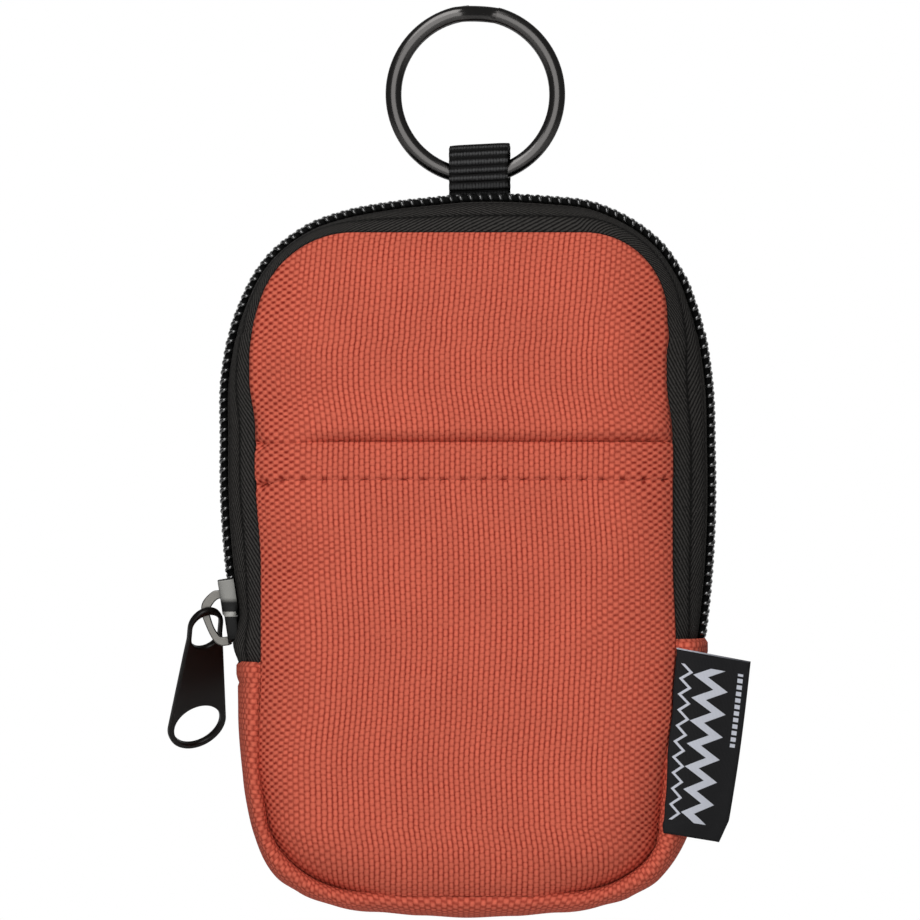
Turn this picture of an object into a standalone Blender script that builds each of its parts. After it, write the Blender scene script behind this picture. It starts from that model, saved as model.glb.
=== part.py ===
"""Small upright zip pouch that hangs from a split key ring.

X is to the right, Y to the back and Z up, in metres. The origin is the inner top of
the ring, the point that the pouch hangs by.
"""
import math

import bmesh
import bpy
from mathutils import Matrix, Vector

# Clearances between pieces that meet
seam_gap = 0.00035
touch_gap = 0.0003
cut_overrun = 0.002
weld_distance = 0.00001

# Cloth and tape
cloth_thickness = 0.0006
tape_thickness = 0.0006
webbing_thickness = 0.0012
label_thickness = 0.0004

# Split ring: flattened wire wound in two turns
ring_outer_radius = 0.0150
ring_wire_across = 0.00265
ring_wire_deep = 0.0018
ring_turn_gap = 0.0001
ring_step_start = math.radians(88)
ring_step_turn = math.radians(15)
ring_turn_points = 30
ring_step_points = 5

# Where the pouch sits under the ring
pouch_centre_x = -0.0014
pouch_centre_y = -0.0045
pouch_swing_z = -0.0257
loop_centre_x = 0.0005

# Outline at the middle of the zip, as seen from the front
zip_top_z = -0.0289
zip_half_width = 0.0413
zip_end_left_z = -0.1075
zip_end_right_z = -0.1030
left_side_radius = 0.1600
left_widest_z = -0.0741
left_shoulder_radius = 0.0266
left_top_radius = 0.0957
right_side_radius = 0.1885
right_widest_z = -0.0777
right_shoulder_radius = 0.0267
right_top_radius = 0.1740

# Outline of the lower band at its middle
band_half_width = 0.0379
band_bottom_z = -0.1493
band_corner_radius = 0.0225

# Outline of the seams that edge the front and back panels
seam_half_width = 0.0345
seam_top_z = -0.0358
seam_bottom_z = -0.1445
seam_top_radius = 0.0150
seam_bottom_radius = 0.0170
seam_half_depth = 0.0095

# How far the panels stand out past their seams
edge_puff = 0.0034
edge_rise = 0.0150
crown_puff = 0.0016

# Front pocket and the line that the opened front folds on
pocket_mouth_z = -0.0698
pocket_hem_height = 0.0068
pocket_layer_pitch = 0.0009
pocket_ease = 0.0080
fold_line_z = -0.1030
band_hem_height = 0.0035

# Zip: coil rows on two tapes
coil_pitch = 0.00165
coil_wire_radius = 0.00038
coil_reach = 0.0028
coil_height = 0.0011
coil_inset = 0.0004
tape_inset = 0.0025
tape_flat_edge = 0.0033
tape_inner_edge = 0.0009
tape_bulge = 0.0006
tape_end_shares = [0, 0.06, 0.12, 0.18]
neck_spread = 0.00115
spread_full_length = 0.0070
spread_end_length = 0.0105
coil_end_margin = 0.0006
coil_turn_shares = [(0, 0, 0), (0.12, 0.05, 1), (0.5, 1, 0.85), (0.62, 0.80, 0)]

# Webbing loop round the ring
webbing_width = 0.0097
loop_half_depth = 0.0030
loop_crown_z = -0.0243
loop_arc_points = 6
loop_front_foot_inset = 0.0009
loop_front_foot_rise = 0.0022
loop_back_foot_outset = 0.0005
loop_back_foot_rise = 0.0009
front_leg_shares = [
    (0, 0.20), (0.05, 0.325), (0.19, 0.425), (0.45, 0.55), (0.72, 0.715), (0.89, 0.85), (0.97, 0.94), (1, 1)
]
back_leg_shares = [(0.03, 0.21), (0.20, 0.41), (0.50, 0.58), (0.80, 0.75), (0.95, 0.88), (1, 1)]

# Slider, drawn about the point where its middle meets the zip's outline
slider_centre_z = -0.0986
slider_length = 0.0109
slider_tail_half_width = 0.0043
slider_nose_half_width = 0.0051
slider_wall = 0.0006
slider_top_face = 0.0015
slider_nose_face = 0.00095
slider_channel_roof = 0.0003
slider_flange_depth = 0.0020
slider_floor_top = 0.0038
slider_floor_bottom = 0.0048
slider_neck_half_width = 0.0005
slider_neck_length = 0.0026
slider_neck_setback = 0.0003
slider_edge_round = 0.00025
slider_taper_shares = (0.20, -0.24)
slider_tail_shares = [(1.0, 0.80), (0.88, 1.0), (0.20, 1.0)]
slider_nose_shares = [(-0.24, 1.0), (-0.84, 1.0), (-1.0, 0.72)]

# Bridge over the slider
bridge_height = 0.0047
bridge_half_width = 0.0007
bridge_edge_round = 0.0002
bridge_outer_shares = [
    (0.33, 0.40), (0.32, 0.68), (0.25, 0.93), (0.15, 1.0), (0.03, 0.97), (-0.08, 0.87),
    (-0.25, 0.73), (-0.40, 0.62), (-0.48, 0.55), (-0.50, 0.42),
]
bridge_inner_shares = [
    (-0.40, 0.33), (-0.26, 0.46), (-0.12, 0.59), (0.02, 0.68), (0.13, 0.71), (0.19, 0.66),
    (0.22, 0.54), (0.225, 0.40),
]

# Pull tab
pull_thickness = 0.0011
pull_lean = math.radians(6.5)
pull_tilt = math.radians(40)
pull_yaw = math.radians(28)
pull_eye_x = -0.04365
pull_eye_depth = 0.0005
pull_eye_z = -0.1018
pull_eye_half_width = 0.0031
pull_eye_hole_half_width = 0.00245
pull_eye_hole_half_length = 0.0036
pull_eye_rim = 0.0012
pull_neck_half_width = 0.0039
pull_neck_drop = 0.0046
pull_drop = 0.0210
pull_end_radius = 0.0052
pull_hole_radius = 0.0042
pull_hole_sides = 18
pull_edge_round = 0.0003

# Woven label folded at its outer edge and sewn into the right-hand front seam
label_top_z = -0.1049
label_length = 0.0306
label_root_clear = 0.0007
label_root_stand = 0.0003
label_top_width = 0.0128
label_low_width = 0.0077
label_tip_stand = 0.0072
label_top_slope = 0.0023
label_low_slope = 0.0011
label_layer_pitch = 0.0007

# Flat stretches and arcs are cut into this many steps
panel_columns = 12
panel_rows = 12
half_panel_rows = 6
band_columns = 4
label_columns = 6
corner_steps = 7
straight_steps = 3
tape_columns = 4
side_steps = 7
shoulder_steps = 6
top_steps = 5

material_looks = {
    "terracotta_cloth": ((0.48, 0.095, 0.058), 0.0, 0.85),
    "black_tape": ((0.021, 0.020, 0.020), 0.0, 0.85),
    "black_webbing": ((0.014, 0.014, 0.014), 0.0, 0.8),
    "black_coil": ((0.020, 0.019, 0.019), 0.0, 0.35),
    "black_nickel": ((0.10, 0.10, 0.105), 1.0, 0.22),
    "gunmetal": ((0.30, 0.29, 0.28), 1.0, 0.35),
    "black_slider": ((0.012, 0.012, 0.012), 0.0, 0.35),
    "black_pull": ((0.011, 0.008, 0.007), 0.0, 0.25),
    "black_label": ((0.012, 0.012, 0.012), 0.0, 0.75),
}


def clear_scene():
    for old in list(bpy.data.objects):
        bpy.data.objects.remove(old)


def new_collection(name):
    collection = bpy.data.collections.new(name)
    bpy.context.scene.collection.children.link(collection)
    return collection


def paint(piece, look):
    """Give the piece a Principled material of its own."""
    colour, metallic, roughness = material_looks[look]
    material = bpy.data.materials.new(piece.name + "_" + look)
    material.use_nodes = True
    shader = material.node_tree.nodes["Principled BSDF"]
    shader.inputs["Base Color"].default_value = (*colour, 1.0)
    shader.inputs["Metallic"].default_value = metallic
    shader.inputs["Roughness"].default_value = roughness
    piece.data.materials.append(material)


def pivot(name, place, parent=None):
    """An empty on a joint's axis, which carries the pieces that move there."""
    empty = bpy.data.objects.new(name, None)
    pouch_parts.objects.link(empty)
    empty.location = place
    if parent:
        carry(empty, parent)
    bpy.context.view_layer.update()
    return empty


def carry(piece, parent):
    """Parent a piece and leave it where it stands."""
    bpy.context.view_layer.update()
    piece.parent = parent
    piece.matrix_parent_inverse = parent.matrix_world.inverted()


def smooth(piece, sharp_degrees):
    piece.data.shade_smooth()
    piece.data.set_sharp_from_angle(angle=math.radians(sharp_degrees))


def blend_share(value, low, high):
    """Smooth step from 0 at low to 1 at high."""
    share = min(max((value - low) / (high - low), 0), 1)
    return share * share * (3 - 2 * share)


def sheet(name, columns, path, place, thickness, look, parent):
    """A grid bent into an open surface, one row for each step of its path, then thickened."""
    grid = bmesh.new()
    rows = len(path) - 1
    bmesh.ops.create_grid(grid, x_segments=columns, y_segments=rows, size=1.0)
    for corner in grid.verts:
        step = round((corner.co.y + 1) / 2 * rows)
        corner.co = place(corner.co.x, *path[step])
    mesh = bpy.data.meshes.new(name)
    grid.to_mesh(mesh)
    grid.free()
    piece = bpy.data.objects.new(name, mesh)
    pouch_parts.objects.link(piece)
    shell = piece.modifiers.new("Thickness", "SOLIDIFY")
    shell.thickness = thickness
    shell.offset = 0
    smooth(piece, 50)
    paint(piece, look)
    carry(piece, parent)
    return piece


def steps_between(start, end, count):
    return [start + (end - start) * k / count for k in range(count + 1)]


def eased_steps(start, end, count):
    """Steps that are close together near the start."""
    return [start + (end - start) * (1 - math.cos(math.pi / 2 * k / count)) for k in range(count + 1)]


# Outline of the zip, as arcs that run into each other from the left end over the top


def side_arcs(side_radius, widest_z, shoulder_radius, top_radius):
    """Centres and meeting angles of the arcs of one side, drawn as the left side."""
    side = Vector((side_radius - zip_half_width, widest_z))
    top = Vector((0, zip_top_z - top_radius))
    reach_side = side_radius - shoulder_radius
    reach_top = top_radius - shoulder_radius
    apart = (top - side).length
    along = (reach_side ** 2 - reach_top ** 2 + apart ** 2) / (2 * apart)
    off = math.sqrt(reach_side ** 2 - along ** 2)
    line = (top - side) / apart
    options = [side + line * along + Vector((-line.y, line.x)) * off * turn for turn in (-1, 1)]
    shoulder = min(options, key=lambda centre: centre.x)
    low = shoulder - side
    high = shoulder - top
    return side, shoulder, top, math.atan2(low.y, low.x), math.atan2(high.y, high.x)


def zip_arcs():
    """Every arc of the zip's outline as centre, radius, start angle and end angle."""
    side, shoulder, top, low, high = side_arcs(
        left_side_radius, left_widest_z, left_shoulder_radius, left_top_radius
    )
    end = math.pi + math.asin((left_widest_z - zip_end_left_z) / left_side_radius)
    arcs = [
        (side, left_side_radius, end, low),
        (shoulder, left_shoulder_radius, low, high),
        (top, left_top_radius, high, math.pi / 2),
    ]
    side, shoulder, top, low, high = side_arcs(
        right_side_radius, right_widest_z, right_shoulder_radius, right_top_radius
    )
    end = math.asin((right_widest_z - zip_end_right_z) / right_side_radius)
    flip = [Vector((-centre.x, centre.y)) for centre in (side, shoulder, top)]
    arcs.append((flip[2], right_top_radius, math.pi / 2, math.pi - high))
    arcs.append((flip[1], right_shoulder_radius, math.pi - high, math.pi - low))
    arcs.append((flip[0], right_side_radius, math.pi - low, -end))
    return arcs


def zip_point(turn):
    """Point and outward normal on the zip's outline; turn counts arcs, 0 to 6."""
    arc = min(max(int(turn), 0), len(outline_arcs) - 1)
    centre, radius, start, end = outline_arcs[arc]
    angle = start + (end - start) * (turn - arc)
    normal = Vector((math.cos(angle), math.sin(angle)))
    return centre + normal * radius, normal


def zip_seam_point(turn):
    """Point of the panel seam that faces the zip's outline at this turn."""
    arc = min(max(int(turn), 0), len(outline_arcs) - 1)
    share = turn - arc
    corner = Vector((seam_half_width - seam_top_radius, seam_top_z - seam_top_radius))
    if arc == 0:
        return Vector((-seam_half_width, zip_end_left_z + (corner.y - zip_end_left_z) * share))
    if arc == 5:
        return Vector((seam_half_width, corner.y + (zip_end_right_z - corner.y) * share))
    if arc in (2, 3):
        along = share - 1 if arc == 2 else share
        return Vector((corner.x * along, seam_top_z))
    angle = math.pi / 2 * ((2 - share) if arc == 1 else (1 - share))
    turn_of_corner = Vector((math.cos(angle), math.sin(angle))) * seam_top_radius
    side = -1 if arc == 1 else 1
    return Vector((corner.x * side, corner.y)) + turn_of_corner


def zip_turn_at(length):
    """Turn of the point that lies this far along the zip from its left end."""
    for arc, (centre, radius, start, end) in enumerate(outline_arcs):
        arc_length = radius * abs(end - start)
        if length <= arc_length or arc == len(outline_arcs) - 1:
            return arc + length / arc_length
        length -= arc_length


def zip_length_at(turn):
    arc = min(int(turn), len(outline_arcs) - 1)
    lengths = [radius * abs(end - start) for centre, radius, start, end in outline_arcs]
    return sum(lengths[:arc]) + lengths[arc] * (turn - arc)


def neck_opening(length):
    """How far each coil row is pushed aside by the neck of the slider."""
    return neck_spread * (1 - blend_share(length, spread_full_length, spread_end_length))


def in_pouch(x, depth, z):
    """World point from the pouch's own width, depth and height."""
    return Vector((pouch_centre_x + x, pouch_centre_y + depth, z))


# Front and back panels


def half_width_at(z):
    """Half the width of a panel at this height."""
    rise = z - (seam_top_z - seam_top_radius)
    drop = (seam_bottom_z + seam_bottom_radius) - z
    if rise > 0:
        return seam_half_width - seam_top_radius + math.sqrt(max(seam_top_radius ** 2 - rise ** 2, 0))
    if drop > 0:
        return seam_half_width - seam_bottom_radius + math.sqrt(max(seam_bottom_radius ** 2 - drop ** 2, 0))
    return seam_half_width


def seam_distance(x, z):
    """Distance from a point of a panel to the seam round it."""
    radius = seam_top_radius if z > (seam_top_z + seam_bottom_z) / 2 else seam_bottom_radius
    across = seam_half_width - abs(x)
    along = min(seam_top_z - z, z - seam_bottom_z)
    if across < radius and along < radius:
        return radius - math.hypot(radius - across, radius - along)
    return min(across, along)


def puff(x, z):
    """How far a panel stands out past its seam."""
    share = min(max(seam_distance(x, z) / edge_rise, 0), 1)
    middle_z = (seam_top_z + seam_bottom_z) / 2
    half_height = (seam_top_z - seam_bottom_z) / 2
    crown_share = (1 - (x / seam_half_width) ** 2) * (1 - ((z - middle_z) / half_height) ** 2)
    return edge_puff * (1 - (1 - share) ** 2) + crown_puff * max(crown_share, 0)


def panel_point(across, z, out, facing):
    """Point of a panel, or of a layer that lies out from it; facing is -1 at the front."""
    x = across * (half_width_at(z) - seam_gap)
    step = seam_gap
    slope_x = (puff(x + step, z) - puff(x - step, z)) / (2 * step)
    slope_z = (puff(x, z + step) - puff(x, z - step)) / (2 * step)
    normal = Vector((-slope_x, facing, -slope_z)).normalized()
    return in_pouch(x, facing * (seam_half_depth + puff(x, z)), z) + normal * out


def front_point(across, z, out):
    return panel_point(across, z, out, -1)


def back_point(across, z, out):
    return panel_point(across, z, out, 1)


def make_panels():
    low = seam_bottom_z + seam_gap
    high = seam_top_z - seam_gap
    middle = (low + high) / 2
    up = eased_steps(low, middle, panel_rows // 2)
    down = eased_steps(high, middle, panel_rows // 2)
    path = [(z, 0) for z in up + down[-2::-1]]
    sheet("back_panel", panel_columns, path, back_point, cloth_thickness, "terracotta_cloth", pouch)
    path = [(z, 0) for z in eased_steps(low, fold_line_z - touch_gap / 2, half_panel_rows)]
    sheet(
        "front_panel_lower", panel_columns, path, front_point, cloth_thickness, "terracotta_cloth", pouch
    )
    path = [(z, 0) for z in eased_steps(high, fold_line_z + touch_gap / 2, half_panel_rows)]
    sheet(
        "front_panel_upper", panel_columns, path, front_point, cloth_thickness, "terracotta_cloth", flap
    )


def fold_steps(start, way, out, pitch):
    """Half turn of cloth from one layer to the next layer in, as (place, out) steps."""
    radius = pitch / 2
    angles = [math.pi * k / 4 for k in range(1, 4)]
    return [(start + way * radius * math.sin(a), out - radius + radius * math.cos(a)) for a in angles]


def pocket_layer(z):
    """How far out the pocket lies: on the panel, and over its own turned-in hem at the mouth."""
    hem_low_z = pocket_mouth_z - pocket_hem_height
    return pocket_layer_pitch * (1 + blend_share(z, hem_low_z - pocket_ease, hem_low_z))


def make_pocket():
    """Slip pocket over the lower front, its mouth hemmed to the inside."""
    low = seam_bottom_z + seam_gap
    path = [(z, pocket_layer(z)) for z in eased_steps(low, fold_line_z - touch_gap / 2, half_panel_rows)]
    sheet("pocket_lower", panel_columns, path, front_point, cloth_thickness, "terracotta_cloth", pouch)
    mouth = pocket_mouth_z - pocket_layer_pitch / 2
    hem_low_z = pocket_mouth_z - pocket_hem_height
    eased_z = hem_low_z - pocket_ease
    rise = steps_between(fold_line_z + touch_gap / 2, eased_z, 3)
    rise += steps_between(eased_z, hem_low_z, 3)[1:] + steps_between(hem_low_z, mouth, 2)[1:]
    path = [(z, pocket_layer(z)) for z in rise]
    path += fold_steps(mouth, 1, pocket_layer(mouth), pocket_layer_pitch)
    path += [(z, pocket_layer_pitch) for z in steps_between(mouth, hem_low_z, 2)]
    sheet("pocket_upper", panel_columns, path, front_point, cloth_thickness, "terracotta_cloth", flap)


# Lower band between the panels, with its two ends hemmed


def band_corners():
    """Corner centres of the band's middle line and of the seams beside it, on the right."""
    middle = Vector((band_half_width - band_corner_radius, band_bottom_z + band_corner_radius))
    seam = Vector((seam_half_width - seam_bottom_radius, seam_bottom_z + seam_bottom_radius))
    return middle, seam


def band_place(across, turn, out):
    """Point of the band; turn runs 0 to 5 down the left side, along the bottom and up."""
    middle, seam = band_corners()
    part = min(max(int(turn), 0), 4)
    share = turn - part
    side = -1 if part < 2 else 1
    if part in (0, 4):
        end_z = zip_end_left_z if part == 0 else zip_end_right_z
        down = share if part == 0 else 1 - share
        top = end_z - seam_gap - cloth_thickness
        on_middle = Vector((band_half_width * side, top + (middle.y - top) * down))
        on_seam = Vector((seam_half_width * side, top + (seam.y - top) * down))
        normal = Vector((side, 0))
    elif part == 2:
        on_middle = Vector((middle.x * (2 * share - 1), band_bottom_z))
        on_seam = Vector((seam.x * (2 * share - 1), seam_bottom_z))
        normal = Vector((0, -1))
    else:
        angle = math.pi + math.pi / 2 * share if part == 1 else math.pi * 3 / 2 + math.pi / 2 * share
        normal = Vector((math.cos(angle), math.sin(angle)))
        on_middle = Vector((middle.x * side, middle.y)) + normal * band_corner_radius
        on_seam = Vector((seam.x * side, seam.y)) + normal * seam_bottom_radius
    point = on_middle.lerp(on_seam, across ** 2) + normal * out
    return in_pouch(point.x, across * (seam_half_depth - seam_gap), point.y)


def make_band():
    middle, seam = band_corners()
    pitch = cloth_thickness + touch_gap
    left_length = zip_end_left_z - middle.y
    right_length = zip_end_right_z - middle.y
    left = [(share, 0) for share in steps_between(0, 1, straight_steps)]
    corner_left = [(share, 0) for share in steps_between(1, 2, corner_steps)]
    bottom = [(share, 0) for share in steps_between(2, 3, 2)]
    corner_right = [(share, 0) for share in steps_between(3, 4, corner_steps)]
    right = [(share, 0) for share in steps_between(4, 5, straight_steps)]
    run = left + corner_left[1:] + bottom[1:] + corner_right[1:] + right[1:]
    left_fold = [(-place / left_length, out) for place, out in fold_steps(0, 1, 0, pitch)]
    right_fold = [(5 + place / right_length, out) for place, out in fold_steps(0, 1, 0, pitch)]
    left_hem = [(0, -pitch), (band_hem_height / left_length, -pitch)]
    right_hem = [(5, -pitch), (5 - band_hem_height / right_length, -pitch)]
    path = (left_fold + left_hem)[::-1] + run + right_fold + right_hem
    sheet("side_band", band_columns, path, band_place, cloth_thickness, "terracotta_cloth", pouch)


# Zip tapes and coil rows


def tape_place(across, turn, facing):
    """Point of a tape: flat under the coil, then sloping down to the seam."""
    column = round((across + 1) / 2 * tape_columns)
    point, normal = zip_point(turn)
    aside = neck_opening(zip_length_at(turn))
    if column == 0:
        on_tape = point - normal * tape_inset
        return in_pouch(on_tape.x, facing * (tape_inner_edge + aside / 2), on_tape.y)
    share = (column - 1) / (tape_columns - 1)
    on_tape = (point - normal * tape_inset).lerp(zip_seam_point(turn), share)
    on_tape += normal * tape_bulge * 4 * share * (1 - share)
    start = tape_flat_edge + aside
    depth = start + (seam_half_depth - seam_gap - start) * share
    return in_pouch(on_tape.x, facing * depth, on_tape.y)


def tape_path(facing):
    turns = tape_end_shares + steps_between(tape_end_shares[-1], 1, side_steps - 3)[1:]
    turns += steps_between(1, 2, shoulder_steps)[1:]
    turns += steps_between(2, 4, top_steps)[1:]
    turns += steps_between(4, 5, shoulder_steps)[1:]
    turns += steps_between(5, 6, side_steps - 2)[1:]
    return [(turn, facing) for turn in turns]


def coil_points(facing):
    """Corner points of one flattened coil, four to a turn, led along the zip."""
    total = zip_length_at(len(outline_arcs))
    shift = coil_pitch / 2 if facing > 0 else 0
    turns = int((total - 2 * coil_end_margin - coil_pitch) / coil_pitch)
    points = []
    for turn in range(turns):
        for along_share, across_share, deep_share in coil_turn_shares:
            length = coil_end_margin + shift + (turn + along_share) * coil_pitch
            point, normal = zip_point(zip_turn_at(length))
            on_coil = point - normal * (coil_inset + coil_height * deep_share)
            depth = neck_opening(length) + coil_reach * across_share
            points.append(in_pouch(on_coil.x, facing * depth, on_coil.y))
    return points


def make_coil(name, facing, parent):
    curve = bpy.data.curves.new(name, "CURVE")
    curve.dimensions = "3D"
    points = coil_points(facing)
    wire = curve.splines.new("POLY")
    wire.points.add(len(points) - 1)
    for spot, place in zip(wire.points, points):
        spot.co = (*place, 1)
    curve.bevel_depth = coil_wire_radius
    curve.bevel_resolution = 0
    curve.use_fill_caps = True
    piece = bpy.data.objects.new(name, curve)
    pouch_parts.objects.link(piece)
    wire.use_smooth = True
    paint(piece, "black_coil")
    carry(piece, parent)


def make_zip():
    sheet("zip_tape_front", tape_columns, tape_path(-1), tape_place, tape_thickness, "black_tape", flap)
    sheet("zip_tape_back", tape_columns, tape_path(1), tape_place, tape_thickness, "black_tape", pouch)
    make_coil("zip_coil_front", -1, flap)
    make_coil("zip_coil_back", 1, pouch)


# Split ring


def make_ring():
    """Two turns of flattened wire, wound flat and stood up, with a step between the turns."""
    radius = ring_outer_radius - ring_wire_across / 2
    centre_z = -(ring_outer_radius - ring_wire_across)
    side_step = (ring_wire_deep + ring_turn_gap) / 2
    whole = 2 * math.pi
    turns = steps_between(0, whole - ring_step_turn, ring_turn_points)
    turns += steps_between(whole - ring_step_turn, whole, ring_step_points)[1:]
    turns += steps_between(whole, 2 * whole - ring_step_turn, ring_turn_points)[1:]
    section = bpy.data.curves.new("ring_section", "CURVE")
    section.dimensions = "2D"
    oval = section.splines.new("POLY")
    oval.use_cyclic_u = True
    oval.points.add(7)
    for k, spot in enumerate(oval.points):
        angle = -whole * (k + 0.5) / 8
        wide = math.cos(angle) * ring_wire_across / 2
        deep = math.sin(angle) * ring_wire_deep / 2
        spot.co = (wide / math.cos(math.pi / 8), deep / math.cos(math.pi / 8), 0, 1)
    section_guide = bpy.data.objects.new("ring_section", section)
    cutters.objects.link(section_guide)
    section_guide.hide_render = True
    section_guide.display_type = "WIRE"
    curve = bpy.data.curves.new("split_ring", "CURVE")
    curve.dimensions = "3D"
    curve.twist_mode = "Z_UP"
    wire = curve.splines.new("POLY")
    wire.points.add(len(turns) - 1)
    start = ring_step_start - ring_step_turn
    for spot, turn in zip(wire.points, turns):
        angle = start - turn
        side = side_step * (1 - 2 * blend_share(turn, whole - ring_step_turn, whole))
        spot.co = (math.cos(angle) * radius, math.sin(angle) * radius, side, 1)
    curve.bevel_mode = "OBJECT"
    curve.bevel_object = section_guide
    curve.use_fill_caps = True
    wire.use_smooth = True
    ring = bpy.data.objects.new("split_ring", curve)
    pouch_parts.objects.link(ring)
    ring.location.z = centre_z
    ring.rotation_euler.x = math.pi / 2
    paint(ring, "black_nickel")


# Webbing loop


def loop_place(across, y, z):
    return Vector((loop_centre_x + across * webbing_width / 2, y, z))


def make_loop():
    """Doubled webbing from the back seam, passing behind the zip and round the ring."""
    turns = [math.pi * k / loop_arc_points for k in range(loop_arc_points + 1)]
    crown = [
        (-loop_half_depth * math.cos(turn), loop_crown_z + loop_half_depth * math.sin(turn))
        for turn in turns
    ]
    seam_y = pouch_centre_y + seam_half_depth
    front_width = seam_y - loop_front_foot_inset + loop_half_depth
    front_drop = seam_top_z + loop_front_foot_rise - loop_crown_z
    front = [
        (-loop_half_depth + front_width * across, loop_crown_z + front_drop * down)
        for across, down in front_leg_shares
    ]
    back_width = seam_y + loop_back_foot_outset - loop_half_depth
    back_drop = seam_top_z + loop_back_foot_rise - loop_crown_z
    back = [
        (loop_half_depth + back_width * across, loop_crown_z + back_drop * down)
        for across, down in back_leg_shares
    ]
    path = front[::-1] + crown + back
    sheet("webbing_loop", 2, path, loop_place, webbing_thickness, "black_webbing", pouch)


# Outlines cut from plate


def flat_outline(name, outlines, half_thickness, frame, collection):
    """A filled flat outline, with holes where one closed line lies inside another."""
    curve = bpy.data.curves.new(name, "CURVE")
    curve.dimensions = "2D"
    curve.fill_mode = "BOTH"
    curve.extrude = half_thickness
    for outline in outlines:
        line = curve.splines.new("POLY")
        line.use_cyclic_u = True
        line.points.add(len(outline) - 1)
        for spot, (x, y) in zip(line.points, outline):
            spot.co = (x, y, 0, 1)
    piece = bpy.data.objects.new(name, curve)
    collection.objects.link(piece)
    piece.matrix_world = frame
    return piece


def as_mesh(curve_piece):
    """The same piece as a mesh with its caps welded on."""
    bpy.context.view_layer.update()
    evaluated = curve_piece.evaluated_get(bpy.context.evaluated_depsgraph_get())
    mesh = bpy.data.meshes.new_from_object(evaluated)
    welded = bmesh.new()
    welded.from_mesh(mesh)
    bmesh.ops.remove_doubles(welded, verts=welded.verts, dist=weld_distance)
    welded.to_mesh(mesh)
    welded.free()
    name = curve_piece.name
    collection = curve_piece.users_collection[0]
    frame = curve_piece.matrix_world.copy()
    bpy.data.objects.remove(curve_piece)
    piece = bpy.data.objects.new(name, mesh)
    collection.objects.link(piece)
    piece.matrix_world = frame
    return piece


def combine(piece, other, operation):
    """Cut the piece with a hidden piece, or join them."""
    other.hide_render = True
    other.display_type = "WIRE"
    step = piece.modifiers.new(other.name, "BOOLEAN")
    step.operation = operation
    step.solver = "EXACT"
    step.object = other


def round_edges(piece, width, segments):
    bevel = piece.modifiers.new("Round edges", "BEVEL")
    bevel.width = width
    bevel.segments = segments
    bevel.limit_method = "ANGLE"
    bevel.angle_limit = math.radians(40)


def mirrored(right_side):
    """Close an outline whose right side runs from top to bottom."""
    return right_side + [(-x, y) for x, y in right_side[::-1]]


# Slider and its bridge


def slider_frame(out):
    """Frame at the slider: X along the zip, Y to the back, Z out from the pouch."""
    drop = math.asin((left_widest_z - slider_centre_z) / left_side_radius)
    normal = Vector((-math.cos(drop), 0, -math.sin(drop)))
    along = Vector((-math.sin(drop), 0, math.cos(drop)))
    centre = Vector((left_side_radius - zip_half_width, 0, left_widest_z)) + normal * left_side_radius
    turn = Matrix((along, Vector((0, 1, 0)), normal)).transposed().to_4x4()
    return Matrix.Translation(in_pouch(centre.x, 0, centre.z) + normal * out) @ turn


def slider_outline(inset, overrun):
    """Plan of the slider, wide at its nose and narrower at its tail."""
    nose = slider_nose_half_width - inset
    tail = slider_tail_half_width - inset
    half = slider_length / 2
    if overrun:
        tail_end, nose_start = slider_taper_shares
        side = [(half + overrun, tail), (half * tail_end, tail)]
        side += [(half * nose_start, nose), (-half - overrun, nose)]
    else:
        side = [(half * along, tail * wide) for along, wide in slider_tail_shares]
        side += [(half * along, nose * wide) for along, wide in slider_nose_shares]
    return side + [(x, -y) for x, y in side[::-1]]


def slider_slab(name, inset, overrun, low, high, collection):
    outline = slider_outline(inset, overrun)
    frame = slider_frame((low + high) / 2)
    return as_mesh(flat_outline(name, [outline], (high - low) / 2, frame, collection))


def box(name, frame, low, high):
    """A cutter box between two corners in a frame."""
    cube = bmesh.new()
    bmesh.ops.create_cube(cube, size=1.0)
    size = Vector(high) - Vector(low)
    middle = (Vector(high) + Vector(low)) / 2
    bmesh.ops.scale(cube, vec=size, verts=cube.verts)
    bmesh.ops.translate(cube, vec=middle, verts=cube.verts)
    mesh = bpy.data.meshes.new(name)
    cube.to_mesh(mesh)
    cube.free()
    piece = bpy.data.objects.new(name, mesh)
    cutters.objects.link(piece)
    piece.matrix_world = frame
    return piece


def make_slider():
    """Slider body: top plate with side flanges, the neck at its nose and the floor plate."""
    half = slider_length / 2
    body = slider_slab("slider_body", 0, 0, -slider_flange_depth, slider_top_face, pouch_parts)
    channel_low = -slider_flange_depth - cut_overrun
    channel = slider_slab(
        "slider_channel", slider_wall, cut_overrun, channel_low, slider_channel_roof, cutters
    )
    combine(body, channel, "DIFFERENCE")
    nose_low = (-half - cut_overrun, -slider_nose_half_width - cut_overrun, slider_nose_face)
    nose_high = (0, slider_nose_half_width + cut_overrun, slider_top_face + cut_overrun)
    combine(body, box("slider_nose_cut", slider_frame(0), nose_low, nose_high), "DIFFERENCE")
    floor = slider_slab(
        "slider_floor", slider_wall, 0, -slider_floor_bottom, -slider_floor_top, cutters
    )
    neck_start = -half + slider_neck_setback
    neck_low = (neck_start, -slider_neck_half_width, -(slider_floor_top + slider_floor_bottom) / 2)
    neck_top = (slider_channel_roof + slider_nose_face) / 2
    neck_high = (neck_start + slider_neck_length, slider_neck_half_width, neck_top)
    combine(body, box("slider_neck", slider_frame(0), neck_low, neck_high), "UNION")
    combine(body, floor, "UNION")
    round_edges(body, slider_edge_round, 1)
    smooth(body, 40)
    paint(body, "black_slider")
    carry(body, slider)


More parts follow.
